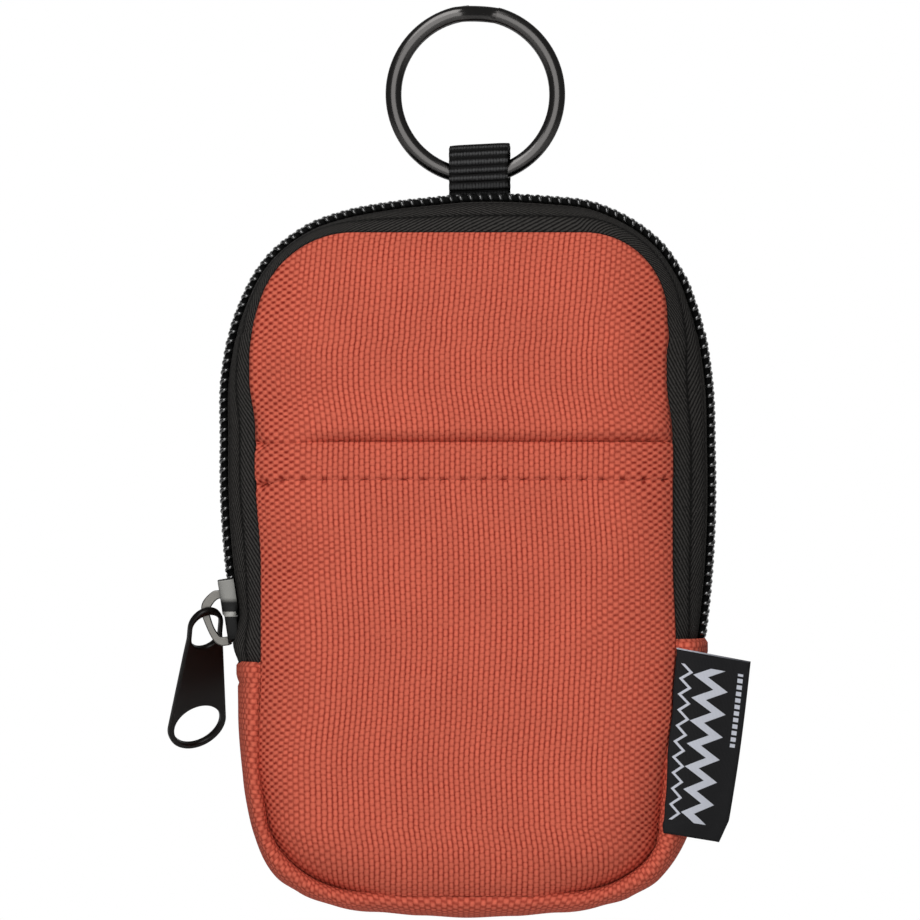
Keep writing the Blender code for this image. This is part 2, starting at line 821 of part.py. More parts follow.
def make_bridge():
    """Arched strap over the slider, which the pull hangs from."""
    along = slider_length
    outer = [(along * a, bridge_height * b) for a, b in bridge_outer_shares]
    inner = [(along * a, bridge_height * b) for a, b in bridge_inner_shares]
    tail_foot = slider_top_face + touch_gap
    nose_foot = slider_nose_face + touch_gap
    outline = [(outer[0][0], tail_foot)] + outer + [(outer[-1][0], nose_foot)]
    outline += [(inner[0][0], nose_foot)] + inner + [(inner[-1][0], tail_foot)]
    frame = slider_frame(0) @ Matrix.Rotation(math.pi / 2, 4, "X")
    bridge = flat_outline("slider_bridge", [outline], bridge_half_width, frame, pouch_parts)
    bridge = as_mesh(bridge)
    round_edges(bridge, bridge_edge_round, 1)
    smooth(bridge, 40)
    paint(bridge, "gunmetal")
    carry(bridge, slider)


# Pull tab


def pull_frame():
    """Frame at the middle of the pull's eye: X across it, Y up it, Z out of its face."""
    centre = in_pouch(pull_eye_x, pull_eye_depth, pull_eye_z)
    turn = Matrix.Rotation(pull_lean, 4, "Y") @ Matrix.Rotation(pull_tilt, 4, "X")
    turn = turn @ Matrix.Rotation(pull_yaw, 4, "Z") @ Matrix.Rotation(math.pi / 2, 4, "X")
    return Matrix.Translation(centre) @ turn


def arc(centre_x, centre_y, wide, tall, start, end, count):
    """Points of an arc or of part of an oval, between two angles in degrees."""
    angles = [math.radians(angle) for angle in steps_between(start, end, count)]
    return [(centre_x + wide * math.cos(a), centre_y + tall * math.sin(a)) for a in angles]


def make_pull():
    """Tapered tab with an eye for the bridge and a round finger hole."""
    eye_end = pull_eye_hole_half_length - pull_eye_hole_half_width
    eye_top = pull_eye_hole_half_length + pull_eye_rim - eye_end
    side = arc(0, eye_end, pull_eye_half_width, eye_top, 75, 0, 4)
    side.append((pull_eye_half_width, -eye_end))
    side.append((pull_neck_half_width, -pull_neck_drop))
    side += arc(0, -pull_drop, pull_end_radius, pull_end_radius, 8, -80, 6)
    eye = arc(0, eye_end, pull_eye_hole_half_width, pull_eye_hole_half_width, 0, 180, 6)
    eye += arc(0, -eye_end, pull_eye_hole_half_width, pull_eye_hole_half_width, 180, 360, 6)
    hole = arc(0, -pull_drop, pull_hole_radius, pull_hole_radius, 0, 360, pull_hole_sides)[:-1]
    outlines = [mirrored(side), eye, hole]
    pull = flat_outline("pull_tab", outlines, pull_thickness / 2, pull_frame(), pouch_parts)
    pull = as_mesh(pull)
    round_edges(pull, pull_edge_round, 1)
    smooth(pull, 40)
    paint(pull, "black_pull")
    carry(pull, pull_hinge)


# Woven label


def label_place(across, reach, out):
    """Point of the label: down the seam, then out from it by a share of its width."""
    down = (1 - across) / 2
    root_z = label_top_z - label_length * down
    root = Vector((half_width_at(root_z) + label_root_clear, -seam_half_depth - label_root_stand, root_z))
    top_x = seam_half_width + label_top_width
    low_x = seam_half_width + label_low_width
    tip_top = Vector((top_x, -label_tip_stand, label_top_z - label_top_slope))
    tip_low = Vector((low_x, -label_tip_stand, label_top_z - label_length - label_low_slope))
    point = root.lerp(tip_top.lerp(tip_low, down), reach)
    return in_pouch(point.x, point.y - out, point.z)


def make_label():
    """Label folded double at its outer edge, both layers caught in the seam."""
    half_pitch = label_layer_pitch / 2
    out = steps_between(0, 1, 3)
    outer_fold = fold_steps(0, 1, half_pitch, label_layer_pitch)
    path = [(reach, half_pitch) for reach in out]
    path += [(1 + place / label_top_width, layer) for place, layer in outer_fold]
    path += [(reach, -half_pitch) for reach in out[::-1]]
    sheet("label", label_columns, path, label_place, label_thickness, "black_label", pouch)


clear_scene()
pouch_parts = new_collection("key_ring_pouch")
cutters = new_collection("cutters")
outline_arcs = zip_arcs()
pouch = pivot("pouch_pivot", (0, 0, pouch_swing_z))
front_stand_out = seam_half_depth + edge_puff + crown_puff + 2 * pocket_layer_pitch
flap_place = in_pouch(0, -front_stand_out - cloth_thickness / 2, fold_line_z)
flap = pivot("flap_pivot", flap_place, pouch)
side_centre = outline_arcs[0][0]
slider = pivot("slider_pivot", in_pouch(side_centre.x, 0, side_centre.y), pouch)
pull_hinge = pivot("pull_pivot", in_pouch(pull_eye_x, pull_eye_depth, pull_eye_z), slider)

make_panels()
make_pocket()
make_band()
make_zip()
make_ring()
make_loop()
make_slider()
make_bridge()
make_pull()
make_label()
bpy.context.view_layer.update()
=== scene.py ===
"""Looks of the small zip pouch on its split ring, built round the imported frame.

Lengths are in metres and in the frame's axes: X right, Y to the back, Z up, with the
origin at the inner top of the ring. UV maps are in millimetres of cloth.
"""
import math

import bmesh
import bpy
from mathutils import Matrix, Vector


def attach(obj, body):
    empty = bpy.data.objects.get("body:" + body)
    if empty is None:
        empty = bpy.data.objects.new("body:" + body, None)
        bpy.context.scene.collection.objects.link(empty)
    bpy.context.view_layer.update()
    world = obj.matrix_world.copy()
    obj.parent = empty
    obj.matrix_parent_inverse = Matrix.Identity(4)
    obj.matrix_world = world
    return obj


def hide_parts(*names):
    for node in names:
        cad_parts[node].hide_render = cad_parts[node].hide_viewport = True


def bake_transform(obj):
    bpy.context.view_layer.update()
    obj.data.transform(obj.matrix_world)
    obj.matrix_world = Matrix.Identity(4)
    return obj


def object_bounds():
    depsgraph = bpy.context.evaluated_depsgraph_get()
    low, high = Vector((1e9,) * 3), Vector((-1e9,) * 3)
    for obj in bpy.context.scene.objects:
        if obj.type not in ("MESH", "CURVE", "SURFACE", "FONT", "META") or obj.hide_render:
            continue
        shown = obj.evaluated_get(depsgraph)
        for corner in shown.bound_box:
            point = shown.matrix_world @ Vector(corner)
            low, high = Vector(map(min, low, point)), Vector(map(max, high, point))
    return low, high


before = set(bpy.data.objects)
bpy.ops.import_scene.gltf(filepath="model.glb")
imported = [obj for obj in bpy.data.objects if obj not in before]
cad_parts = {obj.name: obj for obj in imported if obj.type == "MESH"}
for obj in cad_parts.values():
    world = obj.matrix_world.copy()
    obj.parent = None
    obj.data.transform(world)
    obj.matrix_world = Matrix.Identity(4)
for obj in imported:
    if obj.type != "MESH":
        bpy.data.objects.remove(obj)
cad_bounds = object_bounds()

# Camera and photograph
photo_size = 920
metres_per_pixel = 0.0001665
photo_centre_pixel = 460
origin_pixel_x = 475.4
origin_pixel_y = 19
camera_distance = 1.30
sensor_width = 36

# Pouch, as the frame has it
pouch_centre_x = -0.0014
pouch_centre_y = -0.0045
zip_top_z = -0.0289
zip_half_width = 0.0413
zip_end_left_z = -0.1075
zip_end_right_z = -0.1030
left_arc_sizes = (0.1600, -0.0741, 0.0266, 0.0957)
right_arc_sizes = (0.1885, -0.0777, 0.0267, 0.1740)
zip_sags = [
    (-9, 0.0003), (1.5, 0.0003), (5, 0.0006), (10, 0.0001), (19, 0), (30, 0.0003), (45, 0.0006),
    (70, 0.0004), (87, 0.0001), (95, -0.0005), (106, -0.0006), (122, -0.0003), (139, -0.0001),
    (158, -0.0003), (171, 0), (175, 0.0005), (179, 0), (192, 0),
]
band_half_width = 0.0379
band_bottom_z = -0.1493
band_corner_radius = 0.0225
seam_left = -0.0348
seam_right = 0.0341
seam_top_z = -0.0360
seam_bottom_z = -0.1450
seam_top_left_radius = 0.0160
seam_top_right_radius = 0.0135
seam_bottom_radius = 0.0175
seam_half_depth = 0.0095
seam_draws_left = [
    (-0.1390, 0), (-0.1352, 0.0003), (-0.1304, 0.0009), (-0.1239, 0.0004), (-0.1200, 0.0006),
    (-0.1080, 0.0010), (-0.0910, 0.0010), (-0.0750, 0), (-0.0684, 0), (-0.0600, -0.0010),
    (-0.0567, -0.0010), (-0.0470, 0),
]
seam_draws_right = [
    (-0.1400, 0.0009), (-0.1375, 0.0005), (-0.1354, -0.0003), (-0.1334, -0.0011), (-0.1300, -0.0016),
    (-0.1229, -0.0014), (-0.1134, -0.0005), (-0.1040, 0.0001), (-0.0900, -0.0004), (-0.0700, -0.0004),
    (-0.0600, -0.0013), (-0.0560, -0.0013), (-0.0530, -0.0009), (-0.0500, -0.0012),
]

# Front and back cloth
cloth_thickness = 0.0006
edge_puff = 0.0036
edge_rise = 0.0115
crown_puff = 0.0016
corner_sink = 0.0046
corner_sink_reach = 0.0034
corner_sink_z = (-0.1370, -0.1150)
corner_sink_x = (0.0100, 0.0240)
pocket_mouth_z = -0.0707
pocket_stitch_z = -0.0766
pocket_layer = 0.0010
pocket_lip_radius = 0.0006
pocket_hem_back = 0.0015
mouth_bulge = 0.0017
mouth_bulge_height = 0.0080
mouth_pinch = 0.0012
mouth_dive = 0.0012
mouth_dive_height = 0.0024
mouth_crease = 0.0002
mouth_sewn_left = (0.0045, 0.0140)
mouth_sewn_right = (0.0, 0.0030)
mouth_fine_below = 0.0020
mouth_fine_above = 0.0080
level_fade = (0.0010, 0.0080)
level_seam_fade = (0.0002, 0.0020)
layer_seam_fade = (0.0002, 0.0025)
pinch_inset = 0.0010
pinch_width = 0.0018
pinch_height = 0.0009
pinch_drop = 0.0004
pocket_columns = 168
pocket_lip_steps = 8
pocket_hem_steps = 3
hem_rise = 0.00022
hem_groove = 0.00010
hem_groove_width = 0.00040
stitch_columns = 8
stitch_dimple = 0.0011
stitch_dimple_height = 0.00034
stitch_dimple_columns = 1.5
stitch_dive = 0.0014
stitch_drop = 0.0009
stitch_drop_length = 0.0060
stitch_radius = 0.00008

# Lower band
band_hem_height = 0.0026
band_hem_swell = 0.0002
band_groove = 0.0004
band_groove_width = 0.0004
band_fold_radius = 0.00045
band_turn_degrees = 122
band_rim = 0.0007
band_lip_share = 0.07
band_lip_depth = 0.0024
band_end_right_z = -0.1037
band_right_swell = 0.0017
band_right_swell_z = (-0.1290, -0.1060)
band_left_draw = 0.0006
band_left_draw_z = -0.1310
band_left_draw_height = 0.0060
band_sags = [
    (0, 0), (0.4, -0.0001), (1, -0.0006), (1.25, -0.0006), (1.5, 0.0001), (1.62, -0.0004), (1.8, -0.0010),
    (2, -0.0010), (2.25, -0.0004), (2.5, 0), (2.75, -0.0003), (3, -0.0009), (3.2, -0.0009), (3.35, -0.0002),
    (3.5, 0.0005), (3.8, 0.0004), (4, 0.0001), (5, 0),
]

# Zip
coil_pitch = 0.00165
coil_wire_radius = 0.00036
coil_core_share = 1.6
coil_reach = 0.0027
coil_height = 0.0011
coil_flatness = 0.7
coil_inset = 0.0004
coil_turn_points = 12
coil_end_margin = 0.0006
tape_inset = 0.0019
tape_flat_edge = 0.0031
tape_inner_edge = 0.0009
tape_flat_share = 0.22
tape_bulge = 0.0007
tape_wrap_start = 0.0035
tape_wrap_end = 0.0085
tape_wrap_out = 0.0004
tape_wrap_lead = 0.0030
tape_cloth_width = 0.0125
zip_end_reach = 0.0009
neck_spread = 0.00115
spread_full_length = 0.0070
spread_end_length = 0.0105

# Webbing loop
webbing_width = 0.0097
webbing_thickness = 0.0012
webbing_rib_pitch = 0.00127
webbing_rib_height = 0.00010
loop_tilt = 0.0005
loop_centre_x = 0.0005
loop_back_shift = 0.0005
loop_shift_rows = (0.45, 0.60)
loop_half_depth = 0.0032
loop_crown_z = -0.0245
loop_seam_z = -0.0358
loop_front_foot_inset = 0.0009
loop_front_foot_rise = 0.0022
loop_back_foot_outset = 0.0005
loop_back_foot_rise = 0.0009
front_leg_shares = [
    (0, 0.22), (0.01, 0.335), (0.13, 0.435), (0.42, 0.555), (0.71, 0.715), (0.89, 0.85), (0.97, 0.94), (1, 1)
]
back_leg_shares = [(0.07, 0.21), (0.20, 0.41), (0.50, 0.58), (0.80, 0.75), (0.95, 0.88), (1, 1)]

# Label
label_top_z = -0.1044
label_length = 0.0306
label_root_stand = 0.0006
label_root_out = 0.0004
label_bow = 0.0012
label_tip_top_x = 0.04645
label_tip_low_x = 0.0423
label_tip_stand = 0.0072
label_top_slope = 0.0023
label_low_slope = 0.0016
label_edge_bow = 0.0003
label_corner_cut = 0.0010
label_corner_start = 0.88
label_pitch = 0.0007
label_thickness = 0.0004
label_fold_share = 0.10

# Split ring
ring_outer_radius = 0.0150
ring_wire_across = 0.00265
ring_wire_deep = 0.0018
ring_turn_gap = 0.0001
ring_step_start = math.radians(105)
ring_step_turn = math.radians(30)
ring_step_dip = 0.0002
ring_end_turn = math.radians(19)

# Slider's bridge and pull tab
slider_centre_z = -0.0986
slider_length = 0.0109
slider_nose_half_width = 0.0051
slider_wall = 0.0006
slider_top_face = 0.0011
slider_nose_face = 0.00095
slider_channel_roof = 0.0006
slider_floor_top = 0.0038
slider_floor_bottom = 0.0048
slider_neck_half_width = 0.0005
slider_neck_length = 0.0026
slider_neck_inset = 0.0003
slider_neck_top = 0.0006
slider_neck_bottom = 0.0043
slider_half_blank = 0.0020
slider_cutter_reach = 0.0080
slider_channel_reach = 0.0060
slider_channel_stretch = 1.3
slider_edge = 0.00022
slider_plan_shares = [
    (1.0, 0.80), (0.95, 0.84), (0.20, 0.84), (-0.24, 1.0), (-0.84, 1.0), (-1.0, 0.72),
]
slider_side_line = [
    (0.0060, 0.0012), (0.0060, -0.0015), (0.0004, -0.0015), (-0.0002, -0.0011), (-0.0060, -0.0007),
    (-0.0060, 0.00095), (-0.0006, 0.00095), (-0.0002, 0.0012),
]
bridge_height = 0.0047
bridge_half_width = 0.0007
bridge_edge = 0.00018
bridge_outer_shares = [
    (0.345, 0.33), (0.34, 0.51), (0.255, 0.81), (0.15, 0.98), (0.01, 1.01), (-0.13, 0.95),
    (-0.315, 0.83), (-0.44, 0.69), (-0.50, 0.50), (-0.51, 0.35),
]
bridge_inner_shares = [
    (-0.375, 0.30), (-0.37, 0.41), (-0.335, 0.52), (-0.21, 0.65), (-0.05, 0.72), (0.05, 0.725),
    (0.125, 0.62), (0.19, 0.46), (0.215, 0.33),
]
pull_thickness = 0.0011
pull_edge = 0.00030
pull_lean = math.radians(6.5)
pull_tilt = math.radians(40)
pull_yaw = math.radians(28)
pull_eye_x = -0.04365
pull_eye_depth = 0.0005
pull_eye_z = -0.1018
pull_eye_half_width = 0.0031
pull_eye_hole_half_width = 0.00245
pull_eye_hole_half_length = 0.0036
pull_eye_rim = 0.0012
pull_neck_half_width = 0.0035
pull_neck_drop = 0.0046
pull_drop = 0.0210
pull_end_radius = 0.0052
pull_hole_radius = 0.0042

# Weaves, in millimetres of cloth, and plating
cloth_lit = (0.665, 0.137, 0.083)
cloth_gap = (0.205, 0.013, 0.007)
rib_mm = 0.87
rib_wander_mm = 1.1
float_mm = 1.14
float_wander_mm = 1.6
float_slant = -0.06
stretched_mm = (32.0, 43.0)
stretch_wander_mm = 22.0
chevron_mm = 4.2
tape_thread_mm = 1.05
webbing_warp_mm = 0.50
metal_grain = 900.0
metal_wear = 0.05
plastic_wear = 0.2
# Heights of the slider's painted reflection: grey above the first, and in a stripe at the step below
slider_reflection_z = -0.0967
slider_step_reflection_drop = 0.0023

# Stage
floor_drop = 0.30
floor_size = 4.0
backdrop_distance = 1.2
light_aim_z = -0.075
room_light = 0.17


def in_pouch(x, depth, z):
    return Vector((pouch_centre_x + x, pouch_centre_y + depth, z))


def blend_share(value, low, high):
    share = min(max((value - low) / (high - low), 0), 1)
    return share * share * (3 - 2 * share)


def steps_between(start, end, count):
    return [start + (end - start) * k / count for k in range(count + 1)]


# Shader graphs


def operation(name):
    """Method that adds a Math node with this operation."""
    def method(term, *others):
        return term.graph.calc(name, term, *others)

    return method


class Term:
    """A socket of a material's graph. Arithmetic on it adds nodes."""

    def __init__(self, graph, socket):
        self.graph = graph
        self.socket = socket

    def __rsub__(self, other):
        return self.graph.calc("SUBTRACT", other, self)

    __add__ = operation("ADD")
    __sub__ = operation("SUBTRACT")
    __mul__ = operation("MULTIPLY")
    __truediv__ = operation("DIVIDE")
    __pow__ = operation("POWER")
    __mod__ = operation("FLOORED_MODULO")
    __abs__ = operation("ABSOLUTE")
    __lt__ = operation("LESS_THAN")
    __gt__ = operation("GREATER_THAN")
    larger = operation("MAXIMUM")
    floor = operation("FLOOR")
    fract = operation("FRACT")
    bounce = operation("PINGPONG")


class Graph:
    """A material and its nodes."""

    def __init__(self, name, colour, roughness, metallic=0.0):
        self.material = bpy.data.materials.new(name)
        self.material.use_nodes = True
        self.nodes = self.material.node_tree.nodes
        self.links = self.material.node_tree.links
        self.shader = self.nodes["Principled BSDF"]
        self.say("Base Color", colour)
        self.say("Roughness", roughness)
        self.say("Metallic", metallic)

    def put(self, value, socket):
        if isinstance(value, Term):
            self.links.new(value.socket, socket)
        else:
            socket.default_value = (*value, 1) if isinstance(value, tuple) else value

    def say(self, name, value):
        self.put(value, self.shader.inputs[name])

    def node(self, kind, *values, out=0, **settings):
        """Output of a new node whose first inputs have these values."""
        made = self.nodes.new("ShaderNode" + kind)
        for name, setting in settings.items():
            setattr(made, name, setting)
        for socket, value in zip(made.inputs, values):
            if value is not None:
                self.put(value, socket)
        return Term(self, made.outputs[out])

    def calc(self, operation, *terms):
        return self.node("Math", *terms, operation=operation)

    def mix(self, share, low, high):
        return self.node("Mix", share, *[None] * 5, low, high, out=2, data_type="RGBA")

    def between(self, value, low=0.0, high=1.0, to_low=0.0, to_high=1.0):
        return self.node("MapRange", value, low, high, to_low, to_high)

    def axes(self, place):
        split = self.node("SeparateXYZ", place).socket.node
        return [Term(self, output) for output in split.outputs]

    def cloth_coordinates(self):
        """The cloth's own place, and its two measures in millimetres."""
        place = self.node("UVMap")
        return place, *self.axes(place)[:2]

    def noise(self, place, scale, detail=2.0):
        return self.node("TexNoise", place, None, scale, detail)

    def bump(self, height, distance, strength):
        made = self.node("Bump")
        for name, value in (("Distance", distance), ("Strength", strength), ("Height", height)):
            self.put(value, made.socket.node.inputs[name])
        self.say("Normal", made)


def dome(share, power):
    """1 in the middle of a cell and 0 at its edges."""
    return 1.0 - abs(share * 2.0 - 1.0) ** power


def line_at(value, place, half_width):
    """1 within half a width of a place, 0 elsewhere."""
    return abs(value - place) < half_width


def oxford_cloth(name, stretch=None):
    """Ribbed cloth: columns of short floats, each column half a float off the next.

    In the middle the ribs close up to upright lines. Towards the sides, where the cloth is
    pulled over its padding, holes open up at the ends of the floats. stretch, 0 to 1, sets
    one state for the whole piece.
    """
    graph = Graph(name, cloth_lit, 0.85)
    place, u, v = graph.cloth_coordinates()
    if stretch is None:
        aside = graph.noise(place, 0.07, 1.0) * stretch_wander_mm + abs(u)
        stretch = graph.between(aside, *stretched_mm)
    ribs = (graph.noise(place, 0.040, 1.0) * rib_wander_mm + u) / rib_mm
    column = ribs.floor()
    across = ribs.fract()
    floats = (graph.noise(place, 0.12) * float_wander_mm + v) / float_mm
    slant = across * float_slant + (floats + column % 2.0 * 0.5)
    cell = graph.node("CombineXYZ", column, slant.floor())
    chance = graph.node("TexWhiteNoise", cell, out="Value", noise_dimensions="3D")
    off_rib = abs(across * 2.0 - 1.0)
    off_float = abs(slant.fract() * 2.0 - 1.0)
    line = off_rib ** 2.3 * graph.between(stretch, to_low=0.78, to_high=0.34)
    line = line * graph.between(chance, to_low=0.70, to_high=1.25)
    tick = off_float ** 3.5 * graph.between(stretch, to_low=0.42, to_high=0.0)
    hole = graph.between(off_float, 0.32, 0.86) * dome(across, 2.4) * stretch
    fibre = (graph.noise(place, 2.6) - 0.5) * 0.5
    share = graph.between(fibre + 1.0 - line - tick - hole)
    tone = graph.between(chance, to_low=0.95, to_high=1.05)
    patch = graph.between(graph.noise(place, 0.09, 3.0), 0.3, 0.7, 0.96, 1.04)
    colour = graph.mix(share, cloth_gap, cloth_lit)
    graph.say("Base Color", graph.node("VectorMath", colour, None, None, tone * patch, operation="SCALE"))
    graph.say("Specular IOR Level", 0.15)
    graph.bump(share, 0.00018, 0.7)
    return graph.material


def herringbone_tape(name, dark, pale):
    """Zip tape: slanting threads that turn back at each line of the herringbone."""
    graph = Graph(name, dark, 0.78)
    place, u, v = graph.cloth_coordinates()
    slant = v.bounce(chevron_mm) * 1.3 + u
    thread = dome((slant / tape_thread_mm).fract(), 2.0)
    edge = dome((v / chevron_mm).fract(), 5.0)
    fibre = (graph.noise(place, 2.2) - 0.5) * 1.1
    height = thread * (edge * 0.7 + 0.3) + fibre
    # Two raised lines of the folded tape edge beside the coil: raised in the bump, and made pale in the
    # colour as a painted highlight
    ridges_and_highlights = line_at(v, 3.2, 0.16).larger(line_at(v, 4.3, 0.13))
    height = height.larger(ridges_and_highlights * 0.8)
    graph.say("Base Color", graph.mix(graph.between(height, 0.35), dark, pale))
    graph.say("Specular IOR Level", 0.08)
    graph.bump(height, 0.00014, 0.9)
    return graph.material


def webbing_cloth(name, dark, pale):
    """Flat webbing: cross ribs a little rounded, with the warp's fine teeth on each."""
    graph = Graph(name, dark, 0.62)
    place, u, v = graph.cloth_coordinates()
    rib = dome((v / (webbing_rib_pitch * 1000)).fract(), 1.0)
    warp = dome((u / webbing_warp_mm).fract(), 2.5)
    fibre = (graph.noise(place, 3.0) - 0.5) * 0.5
    height = rib * (warp * 0.25 + 0.75) + fibre
    graph.say("Base Color", graph.mix(graph.between(height, 0.50), dark, pale))
    graph.say("Specular IOR Level", 0.08)
    graph.bump(height, 0.00020, 0.7)
    return graph.material


def label_cloth(name, dark, pale):
    """Fine black satin with a bold zigzag, a thin one and a short broken line woven in."""
    graph = Graph(name, dark, 0.7)
    place, u, v = graph.cloth_coordinates()
    half_length_mm = label_length * 500
    bold = line_at(u, v.bounce(1.9) * 1.75 + 4.0, 1.15)
    thin = line_at(u, v.bounce(1.3) * 1.15 + 1.0, 0.30)
    dashes = ((v / 1.1).fract() > 0.35) * (v > 0.5)
    mark = bold.larger(thin).larger(line_at(u, 10.2, 0.42) * dashes)
    mark = mark * (abs(v) < half_length_mm - 2.4)
    weave = dome((v / 0.16).fract(), 2.0) * dome((u / 0.22).fract(), 2.0)
    edge = (v > half_length_mm - 0.22) * graph.between(u, 2.0, 10.0, 0.8, 0.1)
    mark = mark.larger(edge)
    tint = graph.mix(weave, tuple(0.78 * c for c in pale), pale)
    ground = graph.mix(weave, tuple(0.7 * c for c in dark), tuple(1.5 * c for c in dark))
    graph.say("Base Color", graph.mix(mark, ground, tint))
    graph.say("Specular IOR Level", 0.12)
    graph.bump(mark * 0.6 + weave, 0.00004, 0.8)
    return graph.material


def plated_metal(name, colour, roughness):
    graph = Graph(name, colour, roughness, 1.0)
    place = graph.node("TexCoord", out="Object")
    grain = graph.noise(place, metal_grain, 3.0)
    fine = grain * metal_wear + (roughness - metal_wear / 2)
    graph.say("Roughness", graph.noise(place, 160.0) * metal_wear + fine)
    graph.bump(grain, 0.00001, 0.25)
    return graph.material


def painted_reflection_metal(name, grey, black, change_z, soft):
    """Slider plating: near black, with a painted reflection, grey at the top and in a stripe at the step
    below.
    """
    graph = Graph(name, grey, 0.28, 1.0)
    place = graph.node("TexCoord", out="Object")
    z = graph.axes(place)[2]
    # Painted reflection: grey at the top and in a stripe at the step, near black elsewhere
    upper = graph.between(z, change_z - soft, change_z + soft)
    upper = upper.larger(line_at(z, change_z - slider_step_reflection_drop, 0.0004))
    grain = graph.noise(place, metal_grain, 3.0)
    graph.say("Base Color", graph.mix(upper, black, grey))
    graph.say("Roughness", grain * 0.08 + 0.24)
    graph.bump(grain, 0.00001, 0.25)
    return graph.material


def smooth_plastic(name, colour, roughness, gloss=0.5):
    graph = Graph(name, colour, roughness)
    grain = graph.noise(graph.node("TexCoord", out="Object"), 1500.0)
    graph.say("Roughness", grain * (plastic_wear * roughness) + roughness * (1 - plastic_wear / 2))
    graph.say("Specular IOR Level", gloss)
    graph.bump(grain, 0.000008, 0.3)
    return graph.material


terracotta = oxford_cloth("terracotta_oxford")
terracotta_across = oxford_cloth("terracotta_band", stretch=0.5)
tape_black = herringbone_tape("black_herringbone", (0.0060, 0.0056, 0.0053), (0.048, 0.045, 0.042))
webbing_black = webbing_cloth("black_webbing", (0.0048, 0.0046, 0.0046), (0.066, 0.066, 0.067))
label_black = label_cloth("black_label", (0.012, 0.012, 0.013), (0.62, 0.64, 0.71))
coil_black = smooth_plastic("black_nylon", (0.004, 0.004, 0.004), 0.22, gloss=1.0)
coil_black.node_tree.nodes["Principled BSDF"].inputs["Coat Weight"].default_value = 1.0
cord_black = smooth_plastic("black_cord", (0.006, 0.006, 0.006), 0.9, gloss=0.05)
ring_black = plated_metal("black_nickel", (0.078, 0.075, 0.073), 0.17)
# Slider's near-black plating, with its reflection painted grey at the top and at the step
slider_black = painted_reflection_metal(
    "black_gunmetal_painted_reflection", (0.125, 0.123, 0.116), (0.010, 0.010, 0.010), slider_reflection_z, 0.0004
)
bridge_grey = plated_metal("gunmetal", (0.120, 0.115, 0.106), 0.28)
pull_black = smooth_plastic("black_lacquer", (0.0042, 0.0030, 0.0024), 0.30, gloss=0.22)
thread_red = smooth_plastic("terracotta_thread", (0.50, 0.095, 0.060), 0.7, gloss=0.15)


# Meshes


def add_object(name, data):
    piece = bpy.data.objects.new(name, data)
    bpy.context.scene.collection.objects.link(piece)
    return piece


def settle(piece):
    """Apply the modifiers of a piece, or turn a curve into a mesh."""
    bpy.context.view_layer.update()
    evaluated = piece.evaluated_get(bpy.context.evaluated_depsgraph_get())
    mesh = bpy.data.meshes.new_from_object(evaluated)
    mesh.transform(piece.matrix_world)
    name = piece.name
    bpy.data.objects.remove(piece)
    mesh.name = name
    return add_object(name, mesh)


def line_measure(points):
    """Where each point is along the line, from the middle one."""
    lengths = [0.0]
    for start, end in zip(points, points[1:]):
        lengths.append(lengths[-1] + (end - start).length)
    middle = lengths[(len(points) - 1) // 2]
    return [length - middle for length in lengths]


def surface(name, columns, rows, place, material, thickness, flat=None, measured=None, turned=False):
    """A grid bent by place(column share, row share), with its cloth measured in a UV map.

    flat(column share, row share), in metres, gives the cloth's own coordinates. Without it
    each row is measured from its middle, and the rows are placed by the middle column, all
    on the plainer surface that measured gives, if there is one. turned lays the cloth with
    its ribs across the piece.
    """
    grid = bmesh.new()
    bmesh.ops.create_grid(grid, x_segments=columns, y_segments=rows, size=1.0)
    grid.verts.ensure_lookup_table()
    spots = {}
    for corner in grid.verts:
        key = (round((corner.co.x + 1) / 2 * columns), round((corner.co.y + 1) / 2 * rows))
        spots[key] = corner
        corner.co = place(key[0] / columns, key[1] / rows)
    if flat:
        cloth = {key: flat(key[0] / columns, key[1] / rows) for key in spots}
    else:
        cloth = {}
        rule = measured or place
        heights = line_measure([rule(0.5, row / rows) for row in range(rows + 1)])
        for row, height in enumerate(heights):
            widths = line_measure([rule(column / columns, row / rows) for column in range(columns + 1)])
            cloth.update(((column, row), (width, height)) for column, width in enumerate(widths))
    if turned:
        cloth = {key: (v, u) for key, (u, v) in cloth.items()}
    keys = {corner.index: key for key, corner in spots.items()}
    layer = grid.loops.layers.uv.new("UVMap")
    for face in grid.faces:
        face.smooth = True
        for loop in face.loops:
            u, v = cloth[keys[loop.vert.index]]
            loop[layer].uv = (u * 1000, v * 1000)
    mesh = bpy.data.meshes.new(name)
    grid.to_mesh(mesh)
    grid.free()
    mesh.materials.append(material)
    piece = add_object(name, mesh)
    shell = piece.modifiers.new("Thickness", "SOLIDIFY")
    shell.thickness = thickness
    shell.offset = 0
    return settle(piece)


def wire(name, paths, radius, material, resolution=2, section=None, core_material=None):
    curve = bpy.data.curves.new(name, "CURVE")
    curve.dimensions = "3D"
    for path in paths:
        line = curve.splines.new("POLY")
        line.use_smooth = True
        line.points.add(len(path) - 1)
        for spot, place in zip(line.points, path):
            spot.co = (*place[:3], 1)
            spot.radius = place[3] if len(place) > 3 else 1
    if section:
        curve.twist_mode = "Z_UP"
        curve.bevel_mode = "OBJECT"
        curve.bevel_object = section
    else:
        curve.bevel_depth = radius
        curve.bevel_resolution = resolution
    curve.use_fill_caps = True
    for line, used in zip(curve.splines, (material, core_material or material)):
        if used.name not in curve.materials:
            curve.materials.append(used)
        line.material_index = curve.materials.find(used.name)
    return add_object(name, curve)


def flat_curve(name, outlines, extrude=0.0, material=None):
    """A flat curve, filled between its closed outlines."""
    curve = bpy.data.curves.new(name, "CURVE")
    curve.dimensions = "2D"
    curve.fill_mode = "BOTH"
    curve.extrude = extrude
    for outline in outlines:
        line = curve.splines.new("POLY")
        line.use_cyclic_u = True
        line.points.add(len(outline) - 1)
        for spot, (x, y) in zip(line.points, outline):
            spot.co = (x, y, 0, 1)
    if material:
        curve.materials.append(material)
    return curve


def shade(piece):
    """Smooth shading, apart from the edges."""
    piece.data.shade_smooth()
    piece.data.set_sharp_from_angle(angle=math.radians(35))


